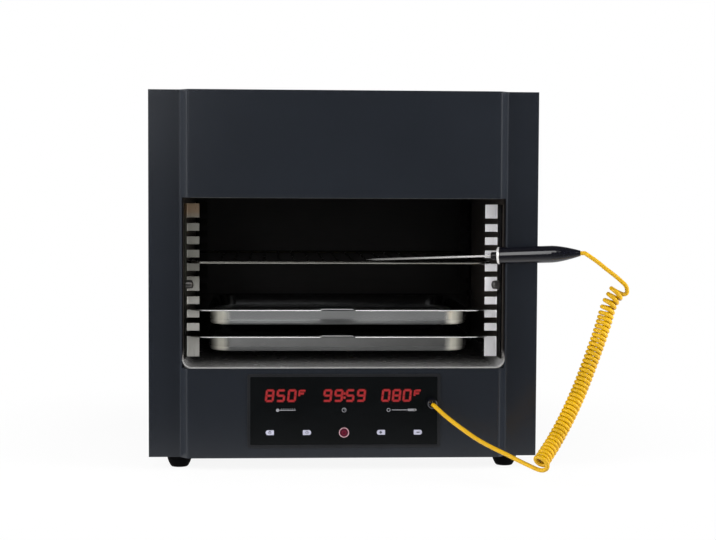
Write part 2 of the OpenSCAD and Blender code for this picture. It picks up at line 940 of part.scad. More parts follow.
module heater_bracket() {
    top = hood_top - liner_t;
    color("#8f9295")
        at_front()
            difference() {
                union() {
                    block(bracket_x - bracket_t, bracket_x, bracket_y0, bracket_y1, top - bracket_drop, top);
                    block(bracket_x - bracket_t, bracket_x + bracket_flange - bracket_t,
                          bracket_y0, bracket_y1, top - bracket_t, top);
                }
                tube_places()
                    rod_x(bracket_x - bracket_t - over, bracket_x + over, 0, 0, neck_d + 2 * run_gap);
            }
}

module heater_bracket_left() {
    mirror([1, 0, 0])
        heater_bracket();
}

module heater_bracket_right() {
    heater_bracket();
}

module quartz_tubes() {
    color("#d9d4cc")
        at_front()
            tube_places()
                difference() {
                    rod_x(-tube_end, tube_end, 0, 0, tube_d);
                    rod_x(-tube_end - over, tube_end + over, 0, 0, tube_bore);
                }
}

module tube_caps() {
    color("#e6e1d6")
        at_front()
            tube_places()
                both_sides() {
                    rod_x(tube_end, tube_end + cap_len, 0, 0, cap_d);
                    rod_x(tube_end + cap_len, bracket_x + neck_out, 0, 0, neck_d);
                }
}

module insulation_top() {
    color("#d8d3c4")
        at_front()
            block(-liner_half, liner_half, flange_y, cavity_d, hood_top, hood_top + wool_t);
}

module insulation_side() {
    color("#d8d3c4")
        at_front()
            block(back_half + side_gap, inner_half - side_gap, flange_y, cavity_d, liner_z, liner_top);
}

module insulation_left() {
    mirror([1, 0, 0])
        insulation_side();
}

module insulation_right() {
    insulation_side();
}

module insulation_back() {
    color("#d8d3c4")
        at_front()
            difference() {
                block(-back_half, back_half, back_wool_y, back_wool_y + wool_t, liner_z, hood_top);
                rod_y(couple_x, back_wool_y - over, back_wool_y + wool_t + over,
                      couple_z, couple_d + 2 * run_gap);
            }
}

module thermocouple() {
    disc_y = back_wool_y + wool_t;
    color("#a7a9ab")
        at_front() {
            rod_y(couple_x, cavity_d - couple_in, disc_y, couple_z, couple_d);
            rod_y(couple_x, disc_y, disc_y + couple_disc_t, couple_z, couple_disc_d);
        }
}

module thermal_cutout() {
    z = liner_z - sheet_t - cutout_h;
    color("#1f1f21")
        at_front() {
            rod_z(cutout_x, cutout_y, z, z + cutout_h, cutout_d);
            for (y = [-1, 1])
                block(cutout_x - blade_w / 2, cutout_x + blade_w / 2, cutout_y + y * blade_w - blade_t / 2,
                      cutout_y + y * blade_w + blade_t / 2, z - blade_len, z);
        }
}

// Control panel pieces
module panel_bezel() {
    color("#1c1e21")
        at_front()
            translate([0, 0, panel_z])
                along_y(-bezel_t, 0)
                    difference() {
                        rounded_rect(panel_w, panel_h, bezel_r);
                        square([panel_w - 2 * bezel_w, panel_h - 2 * bezel_w], center = true);
                    }
}

module panel_glass() {
    color("#0b0c0e")
        at_front()
            difference() {
                translate([0, 0, panel_z])
                    along_y(-bezel_t, 0)
                        square([glass_w, glass_h], center = true);
                rod_y(jack_x, -bezel_t - over, over, jack_z, jack_d + 2 * run_gap);
            }
}

module display(i) {
    x = i * display_pitch;
    color("#3a0d0d")
        at_front()
            block(x - display_w / 2, x + display_w / 2, 0, display_t,
                  display_z - display_h / 2, display_z + display_h / 2);
}

module display_temperature() {
    display(-1);
}

module display_timer() {
    display(0);
}

module display_probe() {
    display(1);
}

module post_places() {
    for (x = [-1, 1])
        for (z = [-1, 1])
            translate([x * post_x, 0, panel_z + z * post_z])
                children();
}

module control_board() {
    color("#1f5a38")
        at_front()
            difference() {
                translate([0, 0, panel_z])
                    along_y(display_t, display_t + board_t)
                        square([board_w, board_h], center = true);
                rod_y(jack_x, display_t - over, display_t + board_t + over, jack_z, jack_d + 2 * run_gap);
            }
}

module board_posts() {
    color("#c9a64a")
        at_front()
            post_places()
                rod_y(0, fascia_t, display_t, 0, post_d);
}

module probe_jack() {
    color("#161719")
        at_front()
            translate([jack_x, 0, jack_z])
                rotate([90, 0, 0])
                    rotate_extrude()
                        polygon([[0, -jack_back], [jack_d / 2, -jack_back], [jack_d / 2, bezel_t],
                                 [jack_lip_d / 2, bezel_t], [jack_lip_d / 2, bezel_t + jack_lip_t],
                                 [pin_d / 2 + run_gap, bezel_t + jack_lip_t],
                                 [pin_d / 2 + run_gap, -jack_bore_end], [0, -jack_bore_end]]);
}

// Power pieces
module power_board() {
    color("#2a6a40")
        at_front()
            block(power_x - power_w / 2, power_x + power_w / 2, power_y - power_d / 2, power_y + power_d / 2,
                  power_z, power_top);
}

module power_posts() {
    color("#c9a64a")
        at_front()
            for (x = [-1, 1])
                for (y = [-1, 1])
                    translate([power_x + x * (power_w / 2 - power_inset),
                               power_y + y * (power_d / 2 - power_inset), 0])
                        rod_z(0, 0, base_top, power_z, post_d);
}

module transformer() {
    color("#5b5d60")
        at_front()
            translate([core_x, core_y, power_top]) {
                block(-core_w / 2, core_w / 2, -core_d / 2, core_d / 2, 0, core_h);
                translate([0, 0, core_h / 2])
                    along_y(-winding_d / 2, winding_d / 2)
                        rounded_rect(winding_w, winding_w, winding_r);
            }
}

module heater_relays() {
    color("#2b4f8f")
        at_front()
            for (i = [0, 1])
                translate([relay_x + i * relay_pitch, power_y, power_top])
                    cube([relay_w, relay_d, relay_h]);
}

module terminal_block() {
    color("#e3e0d4")
        at_front()
            translate([pole_x, pole_y, power_top])
                difference() {
                    cube([pole_w * pole_count, pole_d, pole_h]);
                    for (i = [0 : pole_count - 1])
                        rod_z((i + 0.5) * pole_w, pole_d / 2, pole_h - well_depth, pole_h + over, well_d);
                }
}

// Cable gland through the rear panel
module cable_gland() {
    dome_y = gland_out - gland_hex_t;
    color("#1a1b1d")
        at_front()
            translate([gland_x, case_d, gland_z])
                rotate([-90, 0, 0])
                    difference() {
                        union() {
                            cylinder(d = gland_hex / cos(30), h = gland_hex_t, $fn = 6);
                            translate([0, 0, gland_hex_t])
                                cylinder(d1 = gland_hex - 1, d2 = gland_bore + 4, h = dome_y);
                            translate([0, 0, -gland_in])
                                cylinder(d = gland_d, h = gland_in);
                        }
                        translate([0, 0, -gland_in - over])
                            cylinder(d = gland_bore, h = gland_in + gland_out + 2 * over);
                    }
}

module gland_nut() {
    color("#1a1b1d")
        at_front()
            translate([gland_x, rear_y - gland_nut_t, gland_z])
                rotate([-90, 0, 0])
                    hex_nut(gland_hex, gland_d + 2 * run_gap, gland_nut_t);
}

// Trays and grate
module basin_slab(z, inset) {
    w = tray_w - 2 * (pan_flange + inset);
    d = tray_d - 2 * (pan_flange + inset);
    translate([0, 0, z])
        linear_extrude(run_gap / 10)
            rounded_rect(w, d, max(pan_basin_corner - inset, 2), $fn = 32);
}

module basin(wall, lift) {
    floor = pan_t + wall - pan_depth;
    hull() {
        basin_slab(pan_t + lift, wall);
        for (a = [0 : 30 : 90])
            basin_slab(floor + pan_heel * (1 - sin(a)), wall + pan_draft + pan_heel * (1 - cos(a)));
    }
}

module pan(level) {
    color("#d3d5d7")
        at_front()
            translate([tray_shift, tray_mid, slot_z(level) + seat_gap])
                difference() {
                    union() {
                        linear_extrude(pan_t)
                            rounded_rect(tray_w, tray_d, pan_corner);
                        basin(0, -run_gap);
                        block(tab_x - tab_w / 2, tab_x + tab_w / 2, -tray_d / 2, pan_t - tray_d / 2,
                              0, pan_t + tab_h);
                    }
                    basin(pan_t, over);
                }
}

module upper_pan() {
    pan(UPPER_PAN_LEVEL);
}

module lower_pan() {
    pan(LOWER_PAN_LEVEL);
}

module grill_grate() {
    x = (tray_w - rod_d) / 2;
    y = (tray_d - rod_d) / 2;
    span = x - grate_corner;
    pitch = 2 * x / (bar_count + 1);
    color("#c8cacc")
        at_front()
            translate([tray_shift, tray_mid, slot_z(GRATE_LEVEL) + seat_gap + rod_d / 2]) {
                for (side = [-1, 1]) {
                    rod_x(-span, span, side * y, 0, rod_d);
                    rod_y(side * x, grate_corner - y, y - grate_corner, 0, rod_d);
                }
                for (q = [0 : 3])
                    translate([(q == 0 || q == 3 ? 1 : -1) * span, (q < 2 ? 1 : -1) * (y - grate_corner), 0])
                        rotate(90 * q)
                            rotate_extrude(angle = 90)
                                translate([grate_corner, 0])
                                    circle(d = rod_d);
                for (i = [1 : bar_count])
                    let (bx = i * pitch - x)
                        if (abs(bx) < span)
                            rod_y(bx, -y, y, 0, bar_d);
            }
}

// Probe, its plug and its cord
module along_probe() {
    at_front()
        translate(probe_tip)
            rotate([0, acos(probe_dir[2]), atan2(probe_dir[1], probe_dir[0])])
                children();
}

module probe_plug() {
    color("#131416")
        at_front()
            translate([jack_x, plug_y, jack_z])
                rotate([90, 0, 0])
                    rotate_extrude()
                        polygon([[0, -pin_len], [pin_d / 2 - edge, -pin_len], [pin_d / 2, edge - pin_len],
                                 [pin_d / 2, 0], [plug_d / 2, 0], [plug_d / 2, plug_len - edge],
                                 [plug_d / 2 - edge, plug_len], [plug_tail_d / 2, plug_len],
                                 [plug_tip_d / 2, plug_len + plug_tail], [0, plug_len + plug_tail]]);
}

module cord_lower_lead() {
    color("#f2b91c")
        at_front()
            tube(lower_path, [for (p = lower_path) [0, 0, 1]], CORD_SIDES, cord_d);
}

module curly_cord() {
    refs = concat([axis_dir(0)], [for (i = [0 : coil_steps]) axis_dir(coil_s(i))], [axis_dir(coil_len)]);
    color("#f2b91c")
        at_front()
            tube(curl_path, refs, CURL_SIDES, cord_d);
}

module cord_upper_lead() {
    color("#f2b91c")
        at_front()
            tube(upper_path, [for (p = upper_path) [0, 1, 0]], CORD_SIDES, cord_d);
}

module probe_needle() {
    color("#d5d7d9")
        along_probe()
            rotate_extrude()
                polygon([[0, 0], [needle_d / 2, needle_point], [needle_d / 2, collar_s], [0, collar_s]]);
}

module probe_ferrule() {
    color("#c8cacc")
        along_probe()
            rotate_extrude()
                polygon([[0, collar_s], [collar_d / 2 - edge, collar_s], [collar_d / 2, collar_s + edge],
                         [collar_d / 2, ferrule_s], [handle_d / 2 - edge, ferrule_s],
                         [handle_d / 2, ferrule_s + edge], [handle_d / 2, handle_s], [0, handle_s]]);
}

module probe_handle() {
    steps = 6;
    drop = (handle_d - handle_end_d) / 2;
    color("#131416")
        along_probe()
            rotate_extrude()
                polygon(concat(
                    [[0, handle_s], [handle_d / 2, handle_s]],
                    [for (i = [0 : steps])
                        [handle_d / 2 - drop * pow(i / steps, taper_power),
                         taper_s + (probe_len - taper_s) * i / steps]],
                    [[0, probe_len]]));
}

outer_casing();
front_fascia();
rear_panel();
rear_screws();
base_plate();
foot_front_left();
foot_front_right();
foot_rear_left();
foot_rear_right();
foot_screws();
cavity_shelf();
cavity_liner();
liner_back();
comb_front_left();
comb_front_right();
comb_rear_left();
comb_rear_right();
comb_screws();
comb_nuts();
heater_hood();
heater_bracket_left();
heater_bracket_right();
quartz_tubes();
tube_caps();
insulation_top();
insulation_left();
insulation_right();
insulation_back();
thermocouple();
thermal_cutout();
panel_bezel();
panel_glass();
display_temperature();
display_timer();
display_probe();
control_board();
board_posts();
probe_jack();
power_board();
power_posts();
transformer();
heater_relays();
terminal_block();
cable_gland();
gland_nut();
upper_pan();
lower_pan();
grill_grate();
probe_plug();
cord_lower_lead();
curly_cord();
cord_upper_lead();
probe_needle();
probe_ferrule();
probe_handle();
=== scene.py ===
"""Looks of an open-front electric grill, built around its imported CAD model."""
import bisect
import json
import math

import bmesh
import bpy
from mathutils import Matrix, Vector


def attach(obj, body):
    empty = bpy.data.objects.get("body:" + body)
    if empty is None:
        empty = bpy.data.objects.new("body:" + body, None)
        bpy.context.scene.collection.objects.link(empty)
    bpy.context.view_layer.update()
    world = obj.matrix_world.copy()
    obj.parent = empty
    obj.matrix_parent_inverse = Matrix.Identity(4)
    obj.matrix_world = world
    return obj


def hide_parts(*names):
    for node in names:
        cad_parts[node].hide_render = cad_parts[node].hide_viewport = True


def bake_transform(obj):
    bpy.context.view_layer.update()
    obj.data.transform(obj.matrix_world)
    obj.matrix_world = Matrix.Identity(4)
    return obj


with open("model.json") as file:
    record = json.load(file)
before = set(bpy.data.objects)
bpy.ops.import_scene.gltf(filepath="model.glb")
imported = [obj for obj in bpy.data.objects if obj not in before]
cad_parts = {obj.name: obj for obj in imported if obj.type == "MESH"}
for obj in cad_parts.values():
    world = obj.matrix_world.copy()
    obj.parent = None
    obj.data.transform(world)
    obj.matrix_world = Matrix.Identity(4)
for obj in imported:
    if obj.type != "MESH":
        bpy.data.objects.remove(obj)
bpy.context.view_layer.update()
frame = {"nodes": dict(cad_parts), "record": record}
nodes = frame["nodes"]

MM = 0.001
X, Y, Z = (1, 0, 0), (0, 1, 0), (0, 0, 1)
FRONT_Y = -192.0  # y of the fascia's raised face in the shared frame, in mm


def at(x, y, z):
    """A point in mm, with y measured behind the fascia's raised face, in the frame's metres."""
    return Vector((x * MM, (y + FRONT_Y) * MM, z * MM))


# Camera
IMAGE_W = 716
SENSOR = 36.0
FOCAL_PX = 1588.3
CLIP_NEAR, CLIP_FAR = 0.05, 50
CAM_AT = (-75.8, -1617.3, 291.6)
CAM_YAW, CAM_PITCH, CAM_ROLL = math.radians(3.165), math.radians(3.052), math.radians(0.272)


def make_camera():
    forward = Vector((math.sin(CAM_YAW) * math.cos(CAM_PITCH),
                      math.cos(CAM_YAW) * math.cos(CAM_PITCH), -math.sin(CAM_PITCH)))
    level = forward.cross(Vector(Z)).normalized()
    above = level.cross(forward)
    right = math.cos(CAM_ROLL) * level + math.sin(CAM_ROLL) * above
    up = right.cross(forward)
    data = bpy.data.cameras.new("camera")
    data.sensor_width = SENSOR
    data.lens = FOCAL_PX * SENSOR / IMAGE_W
    data.clip_start, data.clip_end = CLIP_NEAR, CLIP_FAR
    cam = bpy.data.objects.new("camera", data)
    turn = Matrix((right, up, -forward)).transposed().to_4x4()
    cam.matrix_world = Matrix.Translation(at(*CAM_AT)) @ turn
    bpy.context.scene.collection.objects.link(cam)
    bpy.context.scene.camera = cam


make_camera()


# Shader helpers
class Graph:
    """Shortcuts for building a node tree."""

    def __init__(self, tree):
        self.tree = tree

    def node(self, kind, **props):
        n = self.tree.nodes.new(kind)
        for key, value in props.items():
            setattr(n, key, value)
        return n

    def link(self, a, b):
        self.tree.links.new(a, b)

    def feed(self, socket, value):
        """Links a socket to another one, or gives it a number."""
        if isinstance(value, bpy.types.NodeSocket):
            self.link(value, socket)
        else:
            socket.default_value = value

    def calc(self, operation, *values):
        """The result of a Math node on sockets and numbers."""
        n = self.node("ShaderNodeMath", operation=operation)
        for socket, value in zip(n.inputs, values):
            self.feed(socket, value)
        return n.outputs[0]

    def span(self, fac, lo, hi, low=0.3, high=0.7, curve="LINEAR"):
        """A number from lo to hi as fac goes from low to high."""
        n = self.node("ShaderNodeMapRange", interpolation_type=curve)
        for key, value in (("From Min", low), ("From Max", high), ("To Min", lo), ("To Max", hi)):
            n.inputs[key].default_value = value
        self.link(fac, n.inputs["Value"])
        return n.outputs["Result"]

    def ease(self, fac, lo, hi, low, high):
        """The same with soft ends."""
        return self.span(fac, lo, hi, low, high, "SMOOTHSTEP")

    def pick(self, factor, a, b):
        """The number a where factor is 0, and b where it is 1."""
        n = self.node("ShaderNodeMix")
        for key, value in (("Factor", factor), ("A", a), ("B", b)):
            self.feed(n.inputs[key], value)
        return n.outputs["Result"]

    def ray_share(self, *kinds):
        """1 for rays of these kinds, else 0."""
        path = self.node("ShaderNodeLightPath")
        share = path.outputs[kinds[0]]
        for kind in kinds[1:]:
            share = self.calc("MAXIMUM", share, path.outputs[kind])
        return share


class Shader(Graph):
    """A Principled material, with shortcuts for what varies over it."""

    def __init__(self, name, color, rough, metal=0.0, gloss=0.5):
        self.name = name
        self.mat = bpy.data.materials.new(name)
        self.mat.use_nodes = True
        super().__init__(self.mat.node_tree)
        self.bsdf = self.tree.nodes["Principled BSDF"]
        self.set("Base Color", (*color, 1.0))
        self.set("Roughness", rough)
        self.set("Metallic", metal)
        self.set("Specular IOR Level", gloss)
        self.mat.diffuse_color = (*color, 1.0)

    def set(self, socket, value):
        self.bsdf.inputs[socket].default_value = value

    def noise(self, scale, detail=3.0, rough=0.55, stretch=(1, 1, 1)):
        """Noise in the piece's own coordinates, with scale features to a metre."""
        tex = self.node("ShaderNodeTexCoord")
        mapping = self.node("ShaderNodeMapping")
        mapping.inputs["Scale"].default_value = tuple(scale * s for s in stretch)
        self.link(tex.outputs["Object"], mapping.inputs["Vector"])
        n = self.node("ShaderNodeTexNoise")
        n.inputs["Scale"].default_value = 1.0
        n.inputs["Detail"].default_value = detail
        n.inputs["Roughness"].default_value = rough
        self.link(mapping.outputs["Vector"], n.inputs["Vector"])
        return n.outputs["Fac"]

    def place_along(self, axis):
        """How far a point lies along an axis at rest, in metres in the shared frame."""
        tex = self.node("ShaderNodeTexCoord")
        dot = self.node("ShaderNodeVectorMath", operation="DOT_PRODUCT")
        self.link(tex.outputs["Object"], dot.inputs[0])
        dot.inputs[1].default_value = axis
        return dot.outputs["Value"]

    def color(self, fac, dark, light, low=0.3, high=0.7):
        """Takes the base colour from dark to light as fac goes from low to high."""
        ramp = self.node("ShaderNodeValToRGB")
        ends = ramp.color_ramp.elements
        for end, where, shade in ((ends[0], low, dark), (ends[1], high, light)):
            end.position = where
            end.color = (*shade, 1)
        self.link(fac, ramp.inputs["Fac"])
        self.link(ramp.outputs["Color"], self.bsdf.inputs["Base Color"])

    def blend_color(self, fac, color):
        """Lays a colour over the base colour where fac is 1."""
        socket = self.bsdf.inputs["Base Color"]
        mix = self.node("ShaderNodeMix", data_type="RGBA")
        self.link(fac, mix.inputs["Factor"])
        self.link(socket.links[0].from_socket, mix.inputs["A"])
        mix.inputs["B"].default_value = (*color, 1)
        self.link(mix.outputs["Result"], socket)

    def metallic(self, fac):
        self.link(fac, self.bsdf.inputs["Metallic"])

    def roughness(self, fac, rough):
        self.link(self.span(fac, *rough), self.bsdf.inputs["Roughness"])

    def roughen(self, fac):
        """Makes the surface at least as rough as fac."""
        socket = self.bsdf.inputs["Roughness"]
        self.link(self.calc("MAXIMUM", socket.links[0].from_socket, fac), socket)

    def bump(self, fac, depth, strength):
        n = self.node("ShaderNodeBump")
        n.inputs["Strength"].default_value = strength
        n.inputs["Distance"].default_value = depth
        self.link(fac, n.inputs["Height"])
        self.link(n.outputs["Normal"], self.bsdf.inputs["Normal"])


def shades(color, down, up):
    """A darker and a lighter colour."""
    return [c * down for c in color], [min(1, c * up) for c in color]


# Kinds of surface; rough is a pair, from the smoothest to the roughest spot
EVEN, ALONG_X, ALONG_Z = (1, 1, 1), (0.04, 1, 1), (1, 1, 0.04)  # how the grain runs


def powder_coat(name, color):
    s = Shader(name, color, 0.3)
    fine = s.noise(2600, 2.0)
    s.color(s.noise(14, 3.0), *shades(color, 0.94, 1.06))
    s.roughness(fine, (0.2, 0.26))
    s.bump(fine, 0.00008, 0.2)
    return s


def steel(name, color, rough, stretch, scale, depth=0.00002, metal=1.0):
    s = Shader(name, color, rough[0], metal)
    grain = s.noise(scale, 4.0, 0.6, stretch)
    s.color(s.noise(22, 2.0), *shades(color, 0.9, 1.05))
    s.roughness(grain, rough)
    s.bump(grain, depth, 0.6)
    return s


def moulded(name, color, rough, scale=1500, depth=0.00004, coat=0.0, gloss=0.5):
    s = Shader(name, color, rough[0], gloss=gloss)
    if coat:
        s.set("Coat Weight", coat)
        s.set("Coat Roughness", 0.06)
    broad = s.noise(30, 2.0)
    s.color(broad, *shades(color, 0.9, 1.12))
    s.roughness(broad, rough)
    s.bump(s.noise(scale, 2.0), depth, 0.4)
    return s


def glowing(name, color, strength):
    s = Shader(name, [c * 0.2 for c in color], 0.4)
    s.set("Emission Color", (*color, 1))
    level = s.span(s.noise(300, 1.0), strength * 0.9, strength * 1.1)
    s.link(level, s.bsdf.inputs["Emission Strength"])
    return s


def quartz():
    s = Shader("quartz", (0.8, 0.77, 0.72), 0.25)
    s.set("Transmission Weight", 0.55)
    milk = s.noise(60, 3.0, 0.6, (0.2, 1, 1))
    s.color(milk, (0.72, 0.69, 0.63), (0.86, 0.84, 0.8))
    s.roughness(milk, (0.2, 0.4))
    return s


def circuit(name):
    s = Shader(name, (0.02, 0.12, 0.05), 0.4)
    tracks = s.noise(500, 1.0, 0.5, (1, 0.3, 0.3))
    s.color(tracks, (0.015, 0.09, 0.035), (0.03, 0.17, 0.07), 0.45, 0.55)
    s.bump(tracks, 0.00005, 0.4)
    return s


def wool(name):
    s = Shader(name, (0.62, 0.58, 0.48), 0.95)
    fibre = s.noise(700, 5.0, 0.7)
    s.color(fibre, (0.5, 0.46, 0.37), (0.74, 0.7, 0.6))
    s.bump(fibre, 0.0012, 0.9)
    return s


# Steels that change by place; each pair is where a change starts and ends, in metres
LINER_BEND = (0.111, 0.124)  # heights at which the liner's floor turns into its walls
LINER_DULL = (0.118, 0.124)
# where the painted shade on the walls' front edge begins, upwards and backwards
LINER_EDGE_UP, LINER_EDGE_BACK = (0.116, 0.12), (-0.1835, -0.1825)


def liner_steel():
    """Dull grey on the floor, browned up the walls, with painted shade on the walls' front edge
    beside the combs.
    """
    s = steel("liner_steel", (0.24, 0.238, 0.235), (0.22, 0.28), EVEN, 60, 0.000002, 0.1)
    height = s.place_along(Z)
    s.metallic(s.span(height, 0.1, 1.0, *LINER_BEND))
    s.blend_color(s.span(height, 0.0, 0.6, *LINER_BEND), (0.2, 0.16, 0.13))
    # painted shade: the walls' front edge beside the combs is darkened to near black
    edge = s.calc("MULTIPLY", s.span(height, 0.0, 1.0, *LINER_EDGE_UP),
                  s.span(s.place_along(Y), 1.0, 0.0, *LINER_EDGE_BACK))
    s.blend_color(edge, (0.03, 0.026, 0.026))
    s.roughen(s.span(height, 0.0, 0.9, *LINER_DULL))
    return s


COMB_BEND_X, COMB_BEND_W = 0.1625, 0.0003
# heights of the left comb's painted shade, darker upwards, and of its brown heat tint
COMB_SHADE_Z, COMB_BROWN_Z = (0.155, 0.195), (0.2555, 0.2645)


def comb_steel(name, color, metal, side):
    """Dull comb steel, with painted shade in the bend towards the wall on that side."""
    s = steel(name, color, (0.26, 0.34), ALONG_Z, 1200, metal=metal)
    across = s.place_along(X)
    # painted shade: the bend towards the wall is darkened to near black
    bend = side * (COMB_BEND_X - COMB_BEND_W), side * (COMB_BEND_X + COMB_BEND_W)
    s.blend_color(s.span(across, 0.0, 1.0, *bend), (0.012, 0.011, 0.011))
    s.metallic(s.span(across, metal, 1.0, *bend))
    s.roughen(s.span(across, 0.0, 0.95, *bend))
    return s


def comb_left_shaded_steel():
    """Comb steel for the left comb, darker than the right comb's as painted shade and darker still
    upwards as painted shade, with a brown heat tint on its top finger.
    """
    s = comb_steel("comb_left_shaded_steel", (0.55, 0.54, 0.505), 0.25, -1)
    height = s.place_along(Z)
    # painted shade: the left comb darkens towards its top
    s.blend_color(s.span(height, 0.0, 0.82, *COMB_SHADE_Z), (0.115, 0.113, 0.095))
    s.blend_color(s.span(height, 0.0, 0.75, *COMB_BROWN_Z), (0.2, 0.12, 0.06))
    return s


RIM_STEP = 0.0278  # from one tray's rim to the next
LOW_RIM_Z = 0.1347 - RIM_STEP  # just above where a rim one step below the lower tray would be
# the middle, across the trays, of their painted highlights and painted dark reflections
PAINTED_LIGHT_MIDDLE = -0.005
CORNER_OUT, CORNER_BACK, CORNER_END = (0.112, 0.12), (-0.125, -0.115), (0.125, 0.134)
TAB_OUT, RIM_BACK, REAR_WALL_Y = (0.0165, 0.0185), (-0.1655, -0.1635), (0.066, 0.073)
# Shares of a step in height, for both trays
FLOOR_SHARE, HEEL_SHARE = (0.36, 0.44), (0.5, 0.62)
BASIN_SHARE, RIM_SHARE = (0.87, 0.92), (0.9, 0.92)


def tray_steel():
    """Tray steel: dull floors and heels, painted highlights on the front corners and rim edge, a
    painted dark reflection past each corner, painted shade on the rear walls.
    """
    s = steel("tray_steel", (0.5, 0.507, 0.508), (0.12, 0.18), ALONG_X, 1400, 0.000006)
    off = s.calc("ABSOLUTE", s.calc("ADD", s.place_along(X), -PAINTED_LIGHT_MIDDLE))
    back = s.place_along(Y)
    step = s.calc("FRACT", s.span(s.place_along(Z), 0.0, 2.0, LOW_RIM_Z, LOW_RIM_Z + 2 * RIM_STEP))
    corner = s.calc("MULTIPLY", s.span(off, 0.0, 1.0, *CORNER_OUT),
                    s.span(back, 1.0, 0.0, *CORNER_BACK))
    wall = s.calc("MULTIPLY", corner, s.span(step, 1.0, 0.0, *BASIN_SHARE))
    rim = s.calc("MULTIPLY", s.span(step, 0.0, 1.0, *RIM_SHARE), s.span(back, 1.0, 0.0, *RIM_BACK))
    edge = s.calc("MULTIPLY", rim, s.span(off, 0.0, 1.0, *TAB_OUT))
    pale = s.calc("MAXIMUM", wall, edge)
    s.metallic(s.calc("MINIMUM", s.span(pale, 1.0, 0.1, 0.0, 1.0),
                      s.span(step, 0.45, 1.0, *FLOOR_SHARE)))
    s.roughen(s.span(step, 0.4, 0.0, *HEEL_SHARE))
    # painted highlight: the rim's front edge is pale
    s.blend_color(edge, (0.95, 0.95, 0.94))
    # painted highlight: the rounded front corners are pale
    s.blend_color(wall, (0.95, 0.92, 0.8))
    # painted dark reflection just past each pale corner
    s.blend_color(s.calc("MULTIPLY", wall, s.span(off, 0.0, 1.0, *CORNER_END)), (0.03, 0.03, 0.028))
    # painted shade: the trays' rear walls are darkened
    s.blend_color(s.span(back, 0.0, 0.92, *REAR_WALL_Y), (0.03, 0.03, 0.032))
    return s


FRONT_ROD_Y, FRONT_ROD_Z = (-0.1648, -0.1625), (0.2116, 0.2121)


def grate_steel():
    """Bright at the front rod, darker behind it, and darkened above the rods' middle as painted
    shade.
    """
    s = steel("grate_steel", (0.66, 0.65, 0.6), (0.22, 0.28), EVEN, 60, 0.000002)
    s.blend_color(s.span(s.place_along(Y), 0.0, 1.0, *FRONT_ROD_Y), (0.045, 0.042, 0.026))
    # painted shade: everything above the front rod's middle is darkened, leaving a lit lower line
    s.blend_color(s.span(s.place_along(Z), 0.0, 0.95, *FRONT_ROD_Z), (0.03, 0.028, 0.02))
    return s


# The probe's two ends in mm, and how far from its tip its ring starts
PROBE_TIP = Vector((23.5, 28, 214.5))
PROBE_END = Vector((236.7, -31, 224.2))
COLLAR_END = 137.0
# the needle's darkening towards its tip is painted shade
DARK_NEEDLE = 85.0  # how far up from the tip the needle is darkened, in mm
PROBE_DIR = (PROBE_END - PROBE_TIP).normalized()
PROBE_START = at(*PROBE_TIP).dot(PROBE_DIR)


def ferrule_steel():
    """A polished ring behind a black collar."""
    s = steel("ferrule_steel", (0.8, 0.79, 0.78), (0.08, 0.14), EVEN, 500, metal=0.4)
    ring = PROBE_START + COLLAR_END * MM
    collar = s.span(s.place_along(PROBE_DIR), 1.0, 0.0, ring - 0.6 * MM, ring - 0.4 * MM)
    s.blend_color(collar, (0.012, 0.012, 0.013))
    return s


def probe_steel():
    """Needle steel, with painted shade darkening it towards the tip."""
    s = steel("probe_steel", (0.74, 0.73, 0.72), (0.12, 0.2), EVEN, 500, metal=0.7)
    dark_end = PROBE_START + DARK_NEEDLE * MM
    # painted shade: the needle darkens towards its tip, deep in the cavity
    tip = s.span(s.place_along(PROBE_DIR), 0.8, 0.0, PROBE_START, dark_end)
    s.blend_color(tip, (0.05, 0.048, 0.045))
    return s


# The record's material slots, and a few more
surfaces = (
    powder_coat("casing_paint", (0.0092, 0.0113, 0.0155)),
    powder_coat("base_steel", (0.045, 0.047, 0.052)),
    steel("black_screws", (0.05, 0.05, 0.053), (0.35, 0.5), EVEN, 900),
    moulded("rubber", (0.002, 0.002, 0.0024), (0.6, 0.75), gloss=0.03),
    steel("zinc_steel", (0.5, 0.51, 0.53), (0.3, 0.45), EVEN, 60),
    liner_steel(),
    steel("back_steel", (0.022, 0.0205, 0.0205), (0.4, 0.6), ALONG_X, 900, metal=0.5),
    # painted shade: near-black steel for the rear combs, which lie in shade
    steel("rear_comb_shade_steel", (0.04, 0.038, 0.036), (0.35, 0.5), ALONG_Z, 1200),
    # painted light: the left front comb gets a darker copy of the comb steel, the right one a
    # lighter copy
    comb_left_shaded_steel(),
    comb_steel("comb_steel", (0.86, 0.85, 0.87), 0.12, 1),
    steel("screw_steel", (0.3, 0.29, 0.28), (0.3, 0.42), EVEN, 200),
    steel("heater_steel", (0.2, 0.195, 0.19), (0.3, 0.5), ALONG_X, 900, metal=0.6),
    quartz(),
    moulded("ceramic", (0.74, 0.71, 0.64), (0.6, 0.75), 900),
    wool("mineral_wool"),
    moulded("black_plastic", (0.003, 0.003, 0.0055), (0.1, 0.14), 1200, 0.000004, 0.5, 0.8),
    moulded("bezel_plastic", (0.009, 0.0095, 0.011), (0.35, 0.45), gloss=0.3),
    moulded("panel_glass", (0.0022, 0.0027, 0.003), (0.12, 0.18), 400, 0.000002, gloss=0.2),
    moulded("display_plastic", (0.05, 0.006, 0.006), (0.3, 0.4)),
    circuit("circuit_board"),
    steel("brass", (0.72, 0.52, 0.2), (0.25, 0.4), (1, 1, 30), 120),
    steel("core_steel", (0.16, 0.16, 0.17), (0.4, 0.55), (60, 1, 1), 60),
    moulded("relay_plastic", (0.03, 0.09, 0.3), (0.35, 0.5)),
    moulded("terminal_plastic", (0.72, 0.69, 0.62), (0.4, 0.55)),
    tray_steel(),
    grate_steel(),
    ferrule_steel(),
    moulded("cord_jacket", (0.51, 0.288, 0.0012), (0.34, 0.44), 1800, 0.000006),
    probe_steel(),
)
